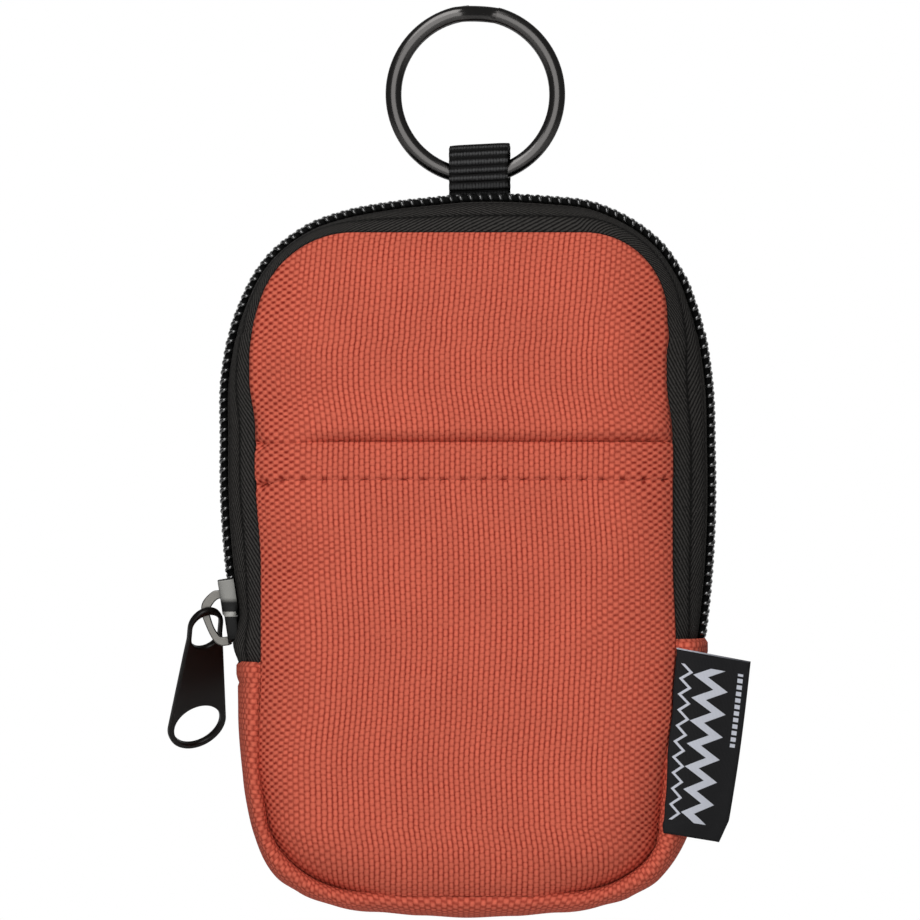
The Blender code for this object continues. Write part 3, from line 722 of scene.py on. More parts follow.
def plate(name, outlines, thickness, edge, place, material):
    """Flat piece cut from plate, with rounded edges and any holes."""
    curve = flat_curve(name, outlines, thickness / 2 - edge, material)
    curve.bevel_depth = edge
    curve.bevel_resolution = 3
    curve.offset = -edge
    piece = add_object(name, curve)
    piece.matrix_world = place
    piece = settle(piece)
    shade(piece)
    return piece


def rounded_line(points, count):
    """More points along a smooth curve through the given ones."""
    ends = [points[0]] + list(points) + [points[-1]]
    line = []
    for before, start, end, after in zip(ends, ends[1:], ends[2:], ends[3:]):
        for k in range(count):
            t = k / count
            line.append(tuple(
                0.5 * (2 * b + (c - a) * t + (2 * a - 5 * b + 4 * c - d) * t ** 2
                       + (3 * b - a - 3 * c + d) * t ** 3)
                for a, b, c, d in zip(before, start, end, after)
            ))
    return line + [tuple(points[-1])]


def table_value(table, place):
    """Value between the rows of a table whose first column rises."""
    for (low, start), (high, end) in zip(table, table[1:]):
        if place <= high:
            return start + (end - start) * blend_share(place, low, high)
    return table[-1][1]


def turn_at(spans, length):
    """Number of the span that a length along a line falls in, plus the share of that span."""
    for part, span in enumerate(spans):
        if length <= span or part == len(spans) - 1:
            return part + length / span
        length -= span


# Outline of the zip


def side_arcs(side_radius, widest_z, shoulder_radius, top_radius):
    """Centres and meeting angles of the arcs of one side, drawn as the left side."""
    side = Vector((side_radius - zip_half_width, widest_z))
    top = Vector((0, zip_top_z - top_radius))
    reach_side = side_radius - shoulder_radius
    reach_top = top_radius - shoulder_radius
    apart = (top - side).length
    along = (reach_side ** 2 - reach_top ** 2 + apart ** 2) / (2 * apart)
    off = math.sqrt(reach_side ** 2 - along ** 2)
    line = (top - side) / apart
    options = [side + line * along + Vector((-line.y, line.x)) * off * turn for turn in (-1, 1)]
    shoulder = min(options, key=lambda centre: centre.x)
    low = shoulder - side
    high = shoulder - top
    return side, shoulder, top, math.atan2(low.y, low.x), math.atan2(high.y, high.x)


def zip_arcs():
    """The zip's outline, left to right: each arc's centre, radius, start angle and end angle."""
    arcs = []
    for sizes, end_z in ((left_arc_sizes, zip_end_left_z), (right_arc_sizes, zip_end_right_z)):
        radius, widest_z, shoulder_radius, top_radius = sizes
        side, shoulder, top, low, high = side_arcs(*sizes)
        end = math.pi + math.asin((widest_z - end_z) / radius)
        half = [(side, radius, end, low), (shoulder, shoulder_radius, low, high)]
        half.append((top, top_radius, high, math.pi / 2))
        if arcs:
            half = [(Vector((-c.x, c.y)), r, math.pi - b, math.pi - a) for c, r, a, b in half[::-1]]
        arcs += half
    return arcs


def zip_point(turn):
    """Point and outward normal on the zip's outline; turn counts arcs, 0 to 6."""
    arc = min(max(int(turn), 0), len(outline_arcs) - 1)
    centre, radius, start, end = outline_arcs[arc]
    angle = start + (end - start) * (turn - arc)
    normal = Vector((math.cos(angle), math.sin(angle)))
    return centre + normal * (radius + table_value(zip_sags, math.degrees(angle))), normal


outline_arcs = zip_arcs()
arc_lengths = [radius * abs(end - start) for centre, radius, start, end in outline_arcs]
zip_length = sum(arc_lengths)


def neck_opening(length):
    return neck_spread * (1 - blend_share(length, spread_full_length, spread_end_length))


# Front and back panels


def seam_x(side, z):
    """Where the panel's seam runs on one side, drawn in and out as on the photographed pouch."""
    if side < 0:
        return seam_left + table_value(seam_draws_left, z)
    return seam_right + table_value(seam_draws_right, z)


def seam_edges(z):
    """Left and right end of the panel at this height."""
    edges = []
    for side, top_radius in ((-1, seam_top_left_radius), (1, seam_top_right_radius)):
        rise = z - (seam_top_z - top_radius)
        drop = (seam_bottom_z + seam_bottom_radius) - z
        back = 0
        if rise > 0:
            back = top_radius - math.sqrt(max(top_radius ** 2 - rise ** 2, 0))
        if drop > 0:
            back = seam_bottom_radius - math.sqrt(max(seam_bottom_radius ** 2 - drop ** 2, 0))
        edges.append(seam_x(side, z) - side * back)
    return edges


def seam_distance(x, z):
    """Distance from a point of a panel to the seam round it."""
    side = -1 if x < 0 else 1
    radius = seam_bottom_radius
    if z > (seam_top_z + seam_bottom_z) / 2:
        radius = seam_top_left_radius if side < 0 else seam_top_right_radius
    across = abs(seam_x(side, z) - x)
    along = min(seam_top_z - z, z - seam_bottom_z)
    if across < radius and along < radius:
        return radius - math.hypot(radius - across, radius - along)
    return min(across, along)


def puff(x, z):
    """How far a panel stands out past its seam; it dives in at its two lower corners."""
    distance = seam_distance(x, z)
    share = min(max(distance / edge_rise, 0), 1)
    middle_z = (seam_top_z + seam_bottom_z) / 2
    half_height = (seam_top_z - seam_bottom_z) / 2
    crown = (1 - (x / seam_right) ** 2) * (1 - ((z - middle_z) / half_height) ** 2)
    low = 1 - blend_share(z, *corner_sink_z)
    aside = blend_share(abs(x), *corner_sink_x)
    valley = corner_sink * low * aside * math.exp(-(max(distance, 0) / corner_sink_reach) ** 1.5)
    return edge_puff * (1 - (1 - share) ** 2.3) + crown_puff * max(crown, 0) - valley


def panel_point(x, z, out, facing):
    step = cloth_thickness
    slope_x = (puff(x + step, z) - puff(x - step, z)) / (2 * step)
    slope_z = (puff(x, z + step) - puff(x, z - step)) / (2 * step)
    normal = Vector((-slope_x, facing, -slope_z)).normalized()
    return in_pouch(x, facing * (seam_half_depth + puff(x, z)), z) + normal * out


def eased_levels(start, end, count):
    """Levels that are close together near the start."""
    return [start + (end - start) * (1 - math.cos(math.pi / 2 * k / count)) for k in range(count + 1)]


def panel_x(column, z):
    left, right = seam_edges(z)
    return left + (right - left) * column


def mouth_share(x, z):
    """Share of the mouth's crease, which dies away where the left of it is sewn down."""
    left, right = seam_edges(z)
    return blend_share(x - left, *mouth_sewn_left) * blend_share(right - x, *mouth_sewn_right)


def pinch(x, z):
    """The small hollow where the mouth's end is caught in the left seam."""
    left = seam_edges(z)[0]
    pinched = 0
    for level in (pocket_mouth_z - pinch_drop, pocket_stitch_z - stitch_drop):
        aside = (x - left - pinch_inset) / pinch_width
        pinched += math.exp(-aside ** 2 - ((z - level) / pinch_height) ** 2)
    return mouth_pinch * pinched * blend_share(x - left, 0.0, pinch_inset)


def upper_out(x, z):
    """The cloth above the pocket bulges over its mouth and dives in behind it."""
    above = z - pocket_mouth_z
    share = mouth_share(x, pocket_mouth_z)
    swell = mouth_bulge * math.sin(math.pi * min(max(above / mouth_bulge_height, 0), 1) ** 0.55)
    dive = mouth_dive * (1 - blend_share(above, -mouth_crease, mouth_dive_height))
    level = pocket_layer * blend_share(above, -mouth_crease, mouth_crease)
    level *= 1 - blend_share(above, *level_fade)
    left, right = seam_edges(z)
    level *= blend_share(x - left, *level_seam_fade) * blend_share(right - x, *level_seam_fade)
    return share * (swell - dive) + (1 - share) * level - pinch(x, z)


fine_low = pocket_mouth_z - mouth_fine_below
fine_high = pocket_mouth_z + mouth_fine_above
front_levels = eased_levels(seam_bottom_z, fine_low, 70)
front_levels += steps_between(fine_low, fine_high, 44)[1:]
front_levels += eased_levels(seam_top_z, fine_high, 44)[-2::-1]


def make_back():
    def place(column, row):
        z = seam_bottom_z + (seam_top_z - seam_bottom_z) * (1 - math.cos(math.pi * row)) / 2
        return panel_point(panel_x(column, z), z, 0, 1)

    piece = surface("back_cloth", 60, 90, place, terracotta, cloth_thickness)
    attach(piece, "pouch")
    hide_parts("back_panel")


def make_front():
    """Front panel, from the bottom seam up behind the pocket and over its mouth."""
    def place(column, row):
        z = front_levels[round(row * (len(front_levels) - 1))]
        x = panel_x(column, z)
        return panel_point(x, z, upper_out(x, z), -1)

    def plain(column, row):
        z = front_levels[round(row * (len(front_levels) - 1))]
        return panel_point(panel_x(column, z), z, 0, -1)

    rows = len(front_levels) - 1
    piece = surface("front_cloth", 84, rows, place, terracotta, cloth_thickness, measured=plain)
    across_fold(piece)
    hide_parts("front_panel_lower", "front_panel_upper")


def across_fold(piece):
    """Bake a piece's placement into its mesh; it is not bent where the opened front folds."""
    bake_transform(piece)


def stitch_level(x):
    """Height of the stitch line, which drops a little at the left seam."""
    left = seam_edges(pocket_stitch_z)[0]
    return pocket_stitch_z - stitch_drop * (1 - blend_share(x, left, left + stitch_drop_length))


def layer_out(x, z):
    """How far the pocket lies over the panel: it rests on it where both are sewn at the seam."""
    share = blend_share(seam_distance(x, z), *layer_seam_fade)
    return cloth_thickness + (pocket_layer - cloth_thickness) * share


def pocket_out(x, z, column):
    """Pocket layer over the panel, sunk a little along its stitched hem and at each stitch."""
    level = stitch_level(x)
    groove = math.exp(-((z - level) / hem_groove_width) ** 2)
    hem = blend_share(z, level - 0.0004, level + 0.0008)
    off = round(column * pocket_columns) % stitch_columns - stitch_columns / 2
    dimple = math.exp(-((z - level) / stitch_dimple_height) ** 2 - (off / stitch_dimple_columns) ** 4)
    sunk = hem_groove * groove + stitch_dimple * dimple + pinch(x, z)
    return layer_out(x, z) + hem_rise * hem - sunk


pocket_top_z = pocket_mouth_z - pocket_lip_radius
pocket_levels = eased_levels(seam_bottom_z, pocket_stitch_z - 0.0024, 64)
pocket_levels += steps_between(pocket_stitch_z - 0.0024, pocket_stitch_z + 0.0016, 20)[1:]
pocket_levels += steps_between(pocket_stitch_z + 0.0016, pocket_top_z, 10)[1:]


def make_pocket():
    flat_steps = len(pocket_levels) - 1
    rows = flat_steps + pocket_lip_steps + pocket_hem_steps

    def place(column, row):
        step = round(row * rows)
        if step <= flat_steps:
            z = pocket_levels[step]
            x = panel_x(column, z)
            return panel_point(x, z, pocket_out(x, z, column), -1)
        turn = math.pi * min((step - flat_steps) / pocket_lip_steps, 1)
        down = max(step - flat_steps - pocket_lip_steps, 0) / pocket_hem_steps
        z = pocket_top_z + pocket_lip_radius * math.sin(turn) - pocket_hem_back * down
        x = panel_x(column, z)
        out = pocket_out(x, pocket_top_z, column) - pocket_lip_radius * (1 - math.cos(turn))
        return panel_point(x, z, out, -1)

    def plain(column, row):
        step = round(row * rows)
        z = pocket_levels[min(step, flat_steps)]
        past = max(step - flat_steps, 0) * pocket_lip_radius / 2
        return panel_point(panel_x(column, z), z, 0, -1) + Vector((0, past, 0))

    piece = surface(
        "pocket_cloth", pocket_columns, rows, place, terracotta, cloth_thickness, measured=plain
    )
    across_fold(piece)
    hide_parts("pocket_lower", "pocket_upper")


def make_pocket_stitches():
    """Thread floats between the dimples of the hem's stitch line."""
    paths = []
    for first in range(stitch_columns // 2, pocket_columns - stitch_columns, stitch_columns):
        path = []
        for k in range(2 * stitch_columns + 1):
            column = (first + k / 2) / pocket_columns
            x = panel_x(column, pocket_stitch_z)
            level = stitch_level(x)
            ends = abs(k / stitch_columns - 1) ** 6
            lift = cloth_thickness / 2 - stitch_radius * 0.2 - stitch_dive * ends
            path.append(panel_point(x, level, pocket_out(x, level, 0) + lift, -1))
        paths.append(path)
    piece = settle(wire("pocket_stitches", paths, stitch_radius, thread_red, resolution=1))
    across_fold(piece)


# Lower band


def band_section(across):
    """Depth share and outward share of the band's rounded section, across -1 to 1."""
    widest = math.radians(band_turn_degrees)
    angle = min(max(across, -1), 1) * widest
    out = (math.cos(angle) - math.cos(widest)) / (1 - math.cos(widest))
    return math.sin(angle), out


def band_lean(side, z):
    """The band stands out more below the right end of the zip than on the left."""
    if side > 0:
        return band_right_swell * blend_share(z, *band_right_swell_z)
    return -band_left_draw * math.exp(-((z - band_left_draw_z) / band_left_draw_height) ** 2)


def band_line(turn):
    """Middle and seam points with the outward normal, along the U from left to right."""
    middle = Vector((band_half_width - band_corner_radius, band_bottom_z + band_corner_radius))
    part = min(max(int(turn), 0), 4)
    share = turn - part
    side, end_z = -1, zip_end_left_z
    if part > 2:
        part, share = 4 - part, 1 - share
        side, end_z = 1, band_end_right_z
    corners = [seam_x(way, seam_bottom_z) - way * seam_bottom_radius for way in (-1, 1)]
    corner = Vector((corners[side > 0], seam_bottom_z + seam_bottom_radius))
    if part == 0:
        middle_z = end_z + (middle.y - end_z) * share
        on_middle = Vector(((band_half_width + band_lean(side, middle_z)) * side, middle_z))
        seam_z = end_z + (corner.y - end_z) * share
        on_seam = Vector((seam_x(side, seam_z), seam_z))
        normal = Vector((side, 0))
    elif part == 1:
        normal = Vector((side * math.cos(math.pi / 2 * share), -math.sin(math.pi / 2 * share)))
        on_middle = Vector((middle.x * side, middle.y)) + normal * band_corner_radius
        on_middle.x += side * band_lean(side, on_middle.y)
        on_seam = corner + normal * seam_bottom_radius
        on_seam.x = seam_edges(on_seam.y)[side > 0]
    else:
        on_middle = Vector((middle.x * (2 * share - 1), band_bottom_z))
        on_seam = Vector((corners[0] + (corners[1] - corners[0]) * share, seam_bottom_z))
        normal = Vector((0, -1))
    on_middle += normal * table_value(band_sags, turn)
    return on_middle, on_seam, normal


def band_lengths():
    middle_x = band_half_width - band_corner_radius
    straight_left = zip_end_left_z - (band_bottom_z + band_corner_radius)
    straight_right = band_end_right_z - (band_bottom_z + band_corner_radius)
    quarter = math.pi / 2 * band_corner_radius
    return [straight_left, quarter, 2 * middle_x, quarter, straight_right]


def make_band():
    """Band round the bottom; each end turns in under itself to make its hem."""
    spans = band_lengths()
    total = sum(spans)
    fold_length = math.pi * band_fold_radius
    extra = fold_length + band_hem_height

    def place(column, row):
        length = (total + 2 * extra) * row - extra
        past = max(-length, length - total, 0)
        along = min(max(length, 0), total)
        inner = 0
        if past > 0:
            turn = min(past / band_fold_radius, math.pi)
            outward = band_fold_radius * math.sin(turn)
            inner = band_fold_radius * (1 - math.cos(turn))
            back = max(past - fold_length, 0) - outward
            along = back if length < 0 else total - back
        on_middle, on_seam, normal = band_line(turn_at(spans, along))
        across = (2 * column - 1) / (1 - band_lip_share)
        depth, out = band_section(across)
        point = on_seam.lerp(on_middle, out)
        from_end = min(along, total - along)
        hem = blend_share(from_end, band_hem_height + 0.0003, band_hem_height - 0.0006)
        groove = math.exp(-((from_end - band_hem_height) / band_groove_width) ** 2)
        swell = band_hem_swell * hem - band_groove * groove
        point += normal * (swell * max(out, 0) ** 0.5 - inner)
        lip = max(abs(across) - 1, 0) / (1 / (1 - band_lip_share) - 1) * band_lip_depth
        deep = (seam_half_depth + band_rim) * abs(depth) + swell * 0.6 * (1 - out) - inner * 0.5 - lip
        return in_pouch(point.x, math.copysign(deep, depth), point.y)

    piece = surface("band_cloth", 34, 220, place, terracotta_across, cloth_thickness, turned=True)
    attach(piece, "pouch")
    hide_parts("side_band")


# Zip


def zip_seam_point(turn):
    """Point of the panel seam that faces the zip's outline at this turn."""
    arc = min(max(int(turn), 0), 5)
    share = turn - arc
    side, edge, radius, end_z = -1, seam_left, seam_top_left_radius, zip_end_left_z
    if arc > 2:
        arc, share = 5 - arc, 1 - share
        side, radius, end_z = 1, seam_top_right_radius, zip_end_right_z
        edge = seam_x(1, seam_top_z)
    corner = Vector((edge - side * radius, seam_top_z - radius))
    if arc == 0:
        z = end_z + (corner.y - end_z) * share
        return Vector((seam_x(side, z), z))
    if arc == 2:
        return Vector((corner.x * (1 - share), seam_top_z))
    angle = math.pi / 2 * share
    return corner + Vector((side * math.cos(angle), math.sin(angle))) * radius


def hold_zip(piece, facing):
    """The back half is attached to the pouch. The front half, its ends in the band, only has its placement
    baked into its mesh.
    """
    if facing > 0:
        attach(piece, "pouch")
    else:
        across_fold(piece)


def make_tape(name, facing, node):
    """Half of the zip's tape; below the slider it wraps out over the ends of the coil."""
    def place(column, row):
        length = (zip_length + zip_end_reach) * row
        turn = turn_at(arc_lengths, length)
        point, normal = zip_point(turn)
        aside = neck_opening(length)
        inset = cloth_thickness / 2 - tape_wrap_out * blend_share(length, 0.0, tape_wrap_lead)
        inset += (tape_inset - inset) * blend_share(length, tape_wrap_start, tape_wrap_end)
        base = point - normal * inset
        if column < tape_flat_share:
            share = column / tape_flat_share
            inner = tape_inner_edge + aside / 2
            depth = inner + (tape_flat_edge + aside - inner) * share
            return in_pouch(base.x, facing * depth, base.y)
        share = (column - tape_flat_share) / (1 - tape_flat_share)
        on_tape = base.lerp(zip_seam_point(turn), share)
        on_tape += normal * tape_bulge * 4 * share * (1 - share)
        start = tape_flat_edge + aside
        depth = start + (seam_half_depth - start) * share
        return in_pouch(on_tape.x, facing * depth, on_tape.y)

    def flat(column, row):
        return (zip_length * (row - 0.5), tape_cloth_width * column)

    piece = surface(name, 16, 260, place, tape_black, cloth_thickness, flat)
    hold_zip(piece, facing)
    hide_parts(node)


def coil_path(facing):
    """One flattened coil, led along the zip."""
    shift = coil_pitch / 2 if facing > 0 else 0
    turns = int((zip_length + zip_end_reach - coil_end_margin - shift) / coil_pitch)
    points = []
    for k in range(turns * coil_turn_points):
        turn = k / coil_turn_points
        angle = 2 * math.pi * (turn % 1)
        length = coil_end_margin + shift + turn * coil_pitch
        point, normal = zip_point(turn_at(arc_lengths, length))
        across = (1 - math.cos(angle)) / 2
        deep = (1 - math.copysign(abs(math.sin(angle)) ** coil_flatness, math.sin(angle))) / 2
        on_coil = point - normal * (coil_inset + coil_height * deep)
        depth = neck_opening(length) + coil_reach * across
        points.append(in_pouch(on_coil.x, facing * depth, on_coil.y))
    return points


def core_path(facing):
    """The filler cord inside the coil."""
    points = []
    for length in steps_between(coil_end_margin, zip_length + zip_end_reach, 200):
        point, normal = zip_point(turn_at(arc_lengths, length))
        inside = point - normal * (coil_inset + coil_height / 2)
        place = in_pouch(inside.x, facing * (neck_opening(length) + coil_reach / 2), inside.y)
        points.append((*place, coil_core_share))
    return points


def make_zip():
    for side, facing in (("front", -1), ("back", 1)):
        make_tape("tape_" + side, facing, "zip_tape_" + side)
        paths = [coil_path(facing), core_path(facing)]
        coil = wire("coil_" + side, paths, coil_wire_radius, coil_black, core_material=cord_black)
        piece = settle(coil)
        hold_zip(piece, facing)
        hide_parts("zip_coil_" + side)


# Webbing loop and label


def loop_path():
    turns = [math.pi * k / 16 for k in range(17)]
    crown = [
        Vector((-loop_half_depth * math.cos(turn), loop_crown_z + loop_half_depth * math.sin(turn)))
        for turn in turns
    ]
    seam_y = pouch_centre_y + seam_half_depth
    legs = []
    for start_y, foot_y, foot_rise, shares in (
        (-loop_half_depth, seam_y - loop_front_foot_inset, loop_front_foot_rise, front_leg_shares),
        (loop_half_depth, seam_y + loop_back_foot_outset, loop_back_foot_rise, back_leg_shares),
    ):
        width = foot_y - start_y
        drop = loop_seam_z + foot_rise - loop_crown_z
        legs.append([Vector((start_y + width * a, loop_crown_z + drop * b)) for a, b in shares])
    return legs[0][::-1] + crown + legs[1]


def along_path(path, length):
    for start, end in zip(path, path[1:]):
        span = (end - start).length
        if length <= span or end is path[-1]:
            return start.lerp(end, min(length / span, 1)), (end - start).normalized()
        length -= span


def make_loop():
    path = loop_path()
    total = sum((end - start).length for start, end in zip(path, path[1:]))

    def place(column, row):
        point, way = along_path(path, total * row)
        rib = abs(math.sin(math.pi * total * row / webbing_rib_pitch)) ** 0.8
        edge = 1 - abs(2 * column - 1) ** 8
        out = Vector((-way.y, way.x)) * webbing_rib_height * rib * edge
        x = loop_centre_x + (2 * column - 1) * webbing_width / 2
        x += loop_back_shift * blend_share(row, *loop_shift_rows)
        tilt = loop_tilt * (column - 0.5) * blend_share(point.y, loop_seam_z, loop_crown_z)
        return Vector((x, point.x + out.x, point.y + out.y + tilt))

    def flat(column, row):
        return ((2 * column - 1) * webbing_width / 2, total * row)

    piece = surface("loop_webbing", 18, 260, place, webbing_black, webbing_thickness, flat)
    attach(piece, "pouch")
    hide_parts("webbing_loop")


def label_point(down, reach, out):
    root_z = label_top_z - label_length * down
    root_x = seam_edges(root_z)[1] + label_root_out
    root_y = -seam_half_depth - label_root_stand - label_bow * math.sin(math.pi * reach)
    root = Vector((root_x, root_y, root_z))
    tip_top = Vector((label_tip_top_x, -label_tip_stand, label_top_z - label_top_slope))
    tip_low = Vector((label_tip_low_x, -label_tip_stand, label_top_z - label_length - label_low_slope))
    tip = tip_top.lerp(tip_low, down)
    tip.x += label_edge_bow * math.sin(math.pi * down)
    tip.x -= label_corner_cut * max((down - label_corner_start) / (1 - label_corner_start), 0)
    point = root.lerp(tip, reach)
    return in_pouch(point.x, point.y - out, point.z)


def make_label():
    width = label_tip_top_x - seam_right
    half_fold = label_fold_share / 2

    def place(column, row):
        down = 1 - row
        if column < 0.5 - half_fold:
            return label_point(down, column / (0.5 - half_fold), label_pitch / 2)
        if column > 0.5 + half_fold:
            return label_point(down, (1 - column) / (0.5 - half_fold), -label_pitch / 2)
        turn = math.pi * (column - 0.5 + half_fold) / label_fold_share
        bulge = label_pitch / 2 * math.sin(turn) / width
        return label_point(down, 1 + bulge, label_pitch / 2 * math.cos(turn))

    def flat(column, row):
        reach = column / 0.5 if column <= 0.5 else (1 - column) / 0.5
        return (width * reach, label_length * (row - 0.5))

    piece = surface("woven_label", 48, 60, place, label_black, label_thickness, flat)
    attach(piece, "pouch")
    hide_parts("label")


# Metal and pull


def make_ring():
    """Two turns of smooth wire; at the top the front turn steps back behind its own end."""
    radius = ring_outer_radius - ring_wire_across / 2
    side_step = (ring_wire_deep + ring_turn_gap) / 2
    whole = 2 * math.pi
    turns = steps_between(0, whole - ring_step_turn, 90)
    turns += steps_between(whole - ring_step_turn, whole, 18)[1:]
    turns += steps_between(whole, 2 * whole - ring_end_turn, 90)[1:]
    angles = [-whole * k / 18 for k in range(18)]
    oval = [(math.cos(a) * ring_wire_across / 2, math.sin(a) * ring_wire_deep / 2) for a in angles]
    guide = bpy.data.objects.new("ring_section", flat_curve("ring_section", [oval]))
    path = []
    for turn in turns:
        angle = ring_step_start - ring_step_turn - turn
        stepping = min(max((turn - whole + ring_step_turn) / ring_step_turn, 0), 1)
        side = side_step * (1 - 2 * blend_share(stepping, 0.05, 1))
        here = radius - ring_step_dip * math.sin(math.pi * stepping)
        path.append((math.cos(angle) * here, math.sin(angle) * here, side))
    ring = wire("smooth_ring", [path], 0, ring_black, section=guide)
    ring.location.z = -(ring_outer_radius - ring_wire_across)
    ring.rotation_euler.x = math.pi / 2
    ring = settle(ring)
    bpy.data.objects.remove(guide)
    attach(ring, "ring")
    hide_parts("split_ring")


def slider_frame():
    """Frame at the slider: X along the zip, Y to the back, Z out from the pouch."""
    radius, widest_z, shoulder_radius, top_radius = left_arc_sizes
    drop = math.asin((widest_z - slider_centre_z) / radius)
    normal = Vector((-math.cos(drop), 0, -math.sin(drop)))
    along = Vector((-math.sin(drop), 0, math.cos(drop)))
    centre = Vector((radius - zip_half_width, 0, widest_z)) + normal * radius
    turn = Matrix((along, Vector((0, 1, 0)), normal)).transposed().to_4x4()
    return Matrix.Translation(in_pouch(centre.x, 0, centre.z)) @ turn


def make_bridge():
    """Arched strap over the slider, which the pull hangs from."""
    outer = [(slider_length * a, bridge_height * b) for a, b in bridge_outer_shares]
    inner = [(slider_length * a, bridge_height * b) for a, b in bridge_inner_shares]
    outline = [(outer[0][0], slider_top_face)] + rounded_line(outer, 5)
    outline += [(outer[-1][0], slider_nose_face), (inner[0][0], slider_nose_face)]
    outline += rounded_line(inner, 5) + [(inner[-1][0], slider_top_face)]
    place = slider_frame() @ Matrix.Rotation(math.pi / 2, 4, "X")
    bridge = plate("smooth_bridge", [outline], 2 * bridge_half_width, bridge_edge, place, bridge_grey)
    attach(bridge, "slider")
    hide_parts("slider_bridge")


def pull_frame():
    """Frame at the middle of the pull's eye: X across it, Y up it, Z out of its face."""
    centre = in_pouch(pull_eye_x, pull_eye_depth, pull_eye_z)
    turn = Matrix.Rotation(pull_lean, 4, "Y") @ Matrix.Rotation(pull_tilt, 4, "X")
    turn = turn @ Matrix.Rotation(pull_yaw, 4, "Z") @ Matrix.Rotation(math.pi / 2, 4, "X")
    return Matrix.Translation(centre) @ turn


def arc(centre_y, wide, tall, start, end, count):
    """Points of part of an oval, between two angles in degrees."""
    angles = [math.radians(angle) for angle in steps_between(start, end, count)]
    return [(wide * math.cos(a), centre_y + tall * math.sin(a)) for a in angles]


def make_pull():
    """Tapered tab with an eye for the bridge and a round finger hole."""
    eye_end = pull_eye_hole_half_length - pull_eye_hole_half_width
    eye_top = pull_eye_hole_half_length + pull_eye_rim - eye_end
    side = arc(eye_end, pull_eye_half_width, eye_top, 88, 0, 14)
    side += [(pull_eye_half_width, -eye_end), (pull_neck_half_width, -pull_neck_drop)]
    side += arc(-pull_drop, pull_end_radius, pull_end_radius, 8, -88, 18)
    outline = side + [(-x, y) for x, y in side[::-1]]
    eye = arc(eye_end, pull_eye_hole_half_width, pull_eye_hole_half_width, 0, 180, 14)
    eye += arc(-eye_end, pull_eye_hole_half_width, pull_eye_hole_half_width, 180, 360, 14)
    hole = arc(-pull_drop, pull_hole_radius, pull_hole_radius, 0, 352.5, 47)
    pull = plate("smooth_pull", [outline, eye, hole], pull_thickness, pull_edge, pull_frame(), pull_black)
    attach(pull, "pull")
    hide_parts("pull_tab")


def block(name, outline, low, high, place):
    """An outline extruded between two heights of a frame, as a mesh with welded caps."""
    piece = add_object(name, flat_curve(name, [outline], (high - low) / 2, slider_black))
    piece.matrix_world = place @ Matrix.Translation((0, 0, (low + high) / 2))
    piece = settle(piece)
    welded = bmesh.new()
    welded.from_mesh(piece.data)
    bmesh.ops.remove_doubles(welded, verts=welded.verts, dist=0.00001)
    welded.to_mesh(piece.data)
    welded.free()
    return piece


def slider_plan(inset, stretch):
    """Plan of the slider, wide at its nose and narrower at its tail."""
    half = slider_length / 2 * stretch
    wide = slider_nose_half_width
    side = [(half * along, wide * share - inset) for along, share in slider_plan_shares]
    return side + [(x, -y) for x, y in side[::-1]]


def make_slider():
    """Slider body: its plan cut to its side outline, less the coil's channel, with neck and floor."""
    place = slider_frame()
    half = slider_length / 2
    body = block("smooth_slider", slider_plan(0, 1), -slider_half_blank, slider_half_blank, place)
    side_place = place @ Matrix.Rotation(math.pi / 2, 4, "X")
    start = -half + slider_neck_inset
    end = start + slider_neck_length
    low, high = -slider_neck_bottom, slider_neck_top
    neck = [(start, low), (end, low), (end, high), (start, high)]
    channel = slider_plan(slider_wall, slider_channel_stretch)
    floor = slider_plan(slider_wall, 1)
    tools = []
    for name, outline, low, high, tool_place, cut in (
        ("side_tool", slider_side_line, -slider_cutter_reach, slider_cutter_reach, side_place, "INTERSECT"),
        ("channel_tool", channel, -slider_channel_reach, slider_channel_roof, place, "DIFFERENCE"),
        ("neck_tool", neck, -slider_neck_half_width, slider_neck_half_width, side_place, "UNION"),
        ("floor_tool", floor, -slider_floor_bottom, -slider_floor_top, place, "UNION"),
    ):
        tools.append((block(name, outline, low, high, tool_place), cut))
    for tool, operation in tools:
        step = body.modifiers.new(tool.name, "BOOLEAN")
        step.operation = operation
        step.solver = "EXACT"
        step.object = tool
    bevel = body.modifiers.new("Round edges", "BEVEL")
    bevel.width = slider_edge
    bevel.segments = 2
    bevel.limit_method = "ANGLE"
    bevel.angle_limit = math.radians(30)
    body = settle(body)
    for tool, operation in tools:
        bpy.data.objects.remove(tool)
    shade(body)
    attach(body, "slider")
    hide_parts("slider_body")


# Floor, light and camera


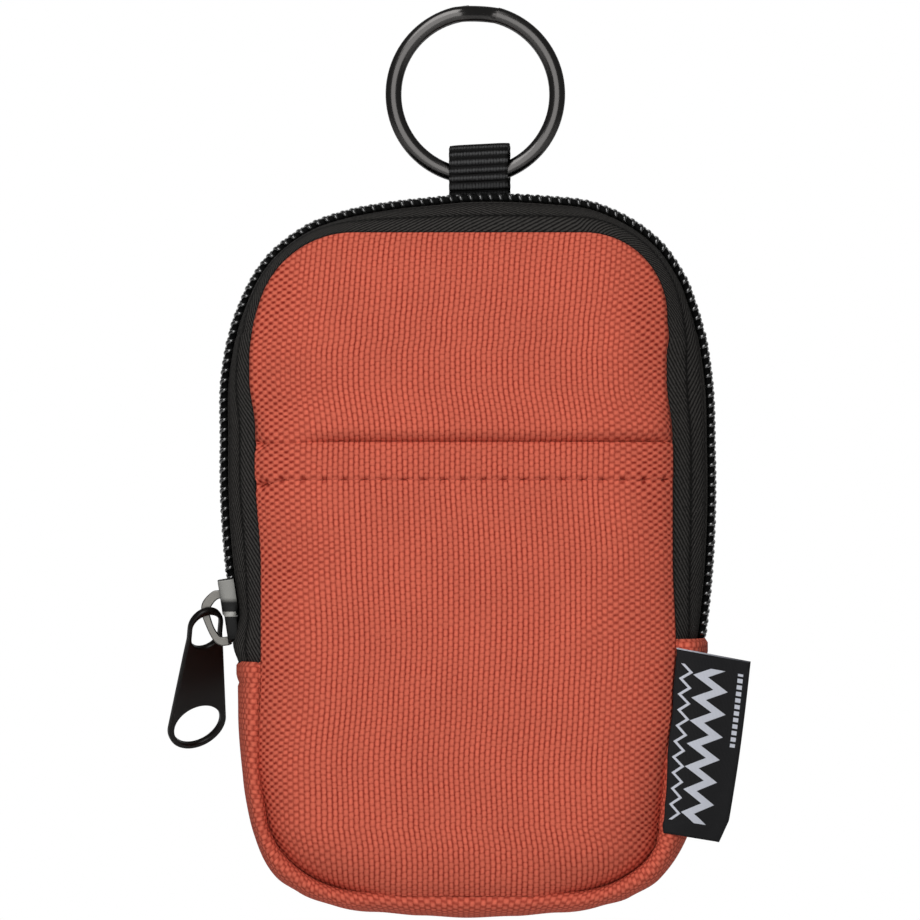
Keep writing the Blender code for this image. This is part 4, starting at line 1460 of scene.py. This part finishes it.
def make_stage():
    graph = Graph("white_backdrop", (0.80, 0.80, 0.80), 0.9)
    rays = graph.node("LightPath").socket.node.outputs
    seen = Term(graph, rays["Is Camera Ray"]).larger(Term(graph, rays["Is Transmission Ray"]))
    lit = Term(graph, graph.shader.outputs[0])
    mixed = graph.node("MixShader", seen, lit, graph.node("Emission", (1, 1, 1), 1.0))
    graph.put(mixed, graph.nodes["Material Output"].inputs[0])
    floor_material = Graph("pale_floor", (0.93, 0.93, 0.93), 0.8).material
    bottom = cad_bounds[0][2] - floor_drop
    for name, place, turn, material in (
        ("floor", (0, 0, bottom), 0, floor_material),
        ("backdrop", (0, backdrop_distance, bottom + floor_size / 2), math.pi / 2, graph.material),
    ):
        grid = bmesh.new()
        bmesh.ops.create_grid(grid, x_segments=1, y_segments=1, size=floor_size / 2)
        mesh = bpy.data.meshes.new(name)
        grid.to_mesh(mesh)
        grid.free()
        mesh.materials.append(material)
        piece = add_object(name, mesh)
        piece.location = place
        piece.rotation_euler = (turn, 0, 0)


def area_light(name, place, aim, size, energy):
    light = bpy.data.lights.new(name, "AREA")
    light.shape = "RECTANGLE"
    light.size, light.size_y = size
    light.energy = energy
    piece = add_object(name, light)
    piece.location = place
    piece.rotation_euler = (Vector(aim) - Vector(place)).to_track_quat("-Z", "Y").to_euler()
    return piece


def make_lights():
    centre = (pouch_centre_x, pouch_centre_y, light_aim_z)
    area_light("front_softbox", (-0.10, -1.9, -0.05), centre, (1.5, 1.5), 16)
    area_light("key_light", (-0.25, -1.00, 0.85), centre, (0.9, 0.9), 11)
    world = bpy.data.worlds.new("soft_room")
    bpy.context.scene.world = world
    world.use_nodes = True
    world.node_tree.nodes["Background"].inputs[0].default_value = (1, 1, 1, 1)
    world.node_tree.nodes["Background"].inputs[1].default_value = room_light


def make_camera():
    data = bpy.data.cameras.new("photo_camera")
    camera = add_object("photo_camera", data)
    view_width = photo_size * metres_per_pixel
    data.sensor_width = sensor_width
    data.lens = sensor_width * camera_distance / view_width
    x = (photo_centre_pixel - origin_pixel_x) * metres_per_pixel
    z = -(photo_centre_pixel - origin_pixel_y) * metres_per_pixel
    camera.location = (x, pouch_centre_y - camera_distance, z)
    camera.rotation_euler = (math.pi / 2, 0, 0)
    data.clip_end = 20
    bpy.context.scene.camera = camera


make_camera()
make_front()
make_pocket()
make_pocket_stitches()
make_back()
make_band()
make_zip()
make_loop()
make_label()
make_ring()
make_bridge()
make_pull()
make_slider()
make_stage()
make_lights()
bpy.context.scene.view_settings.view_transform = "Standard"
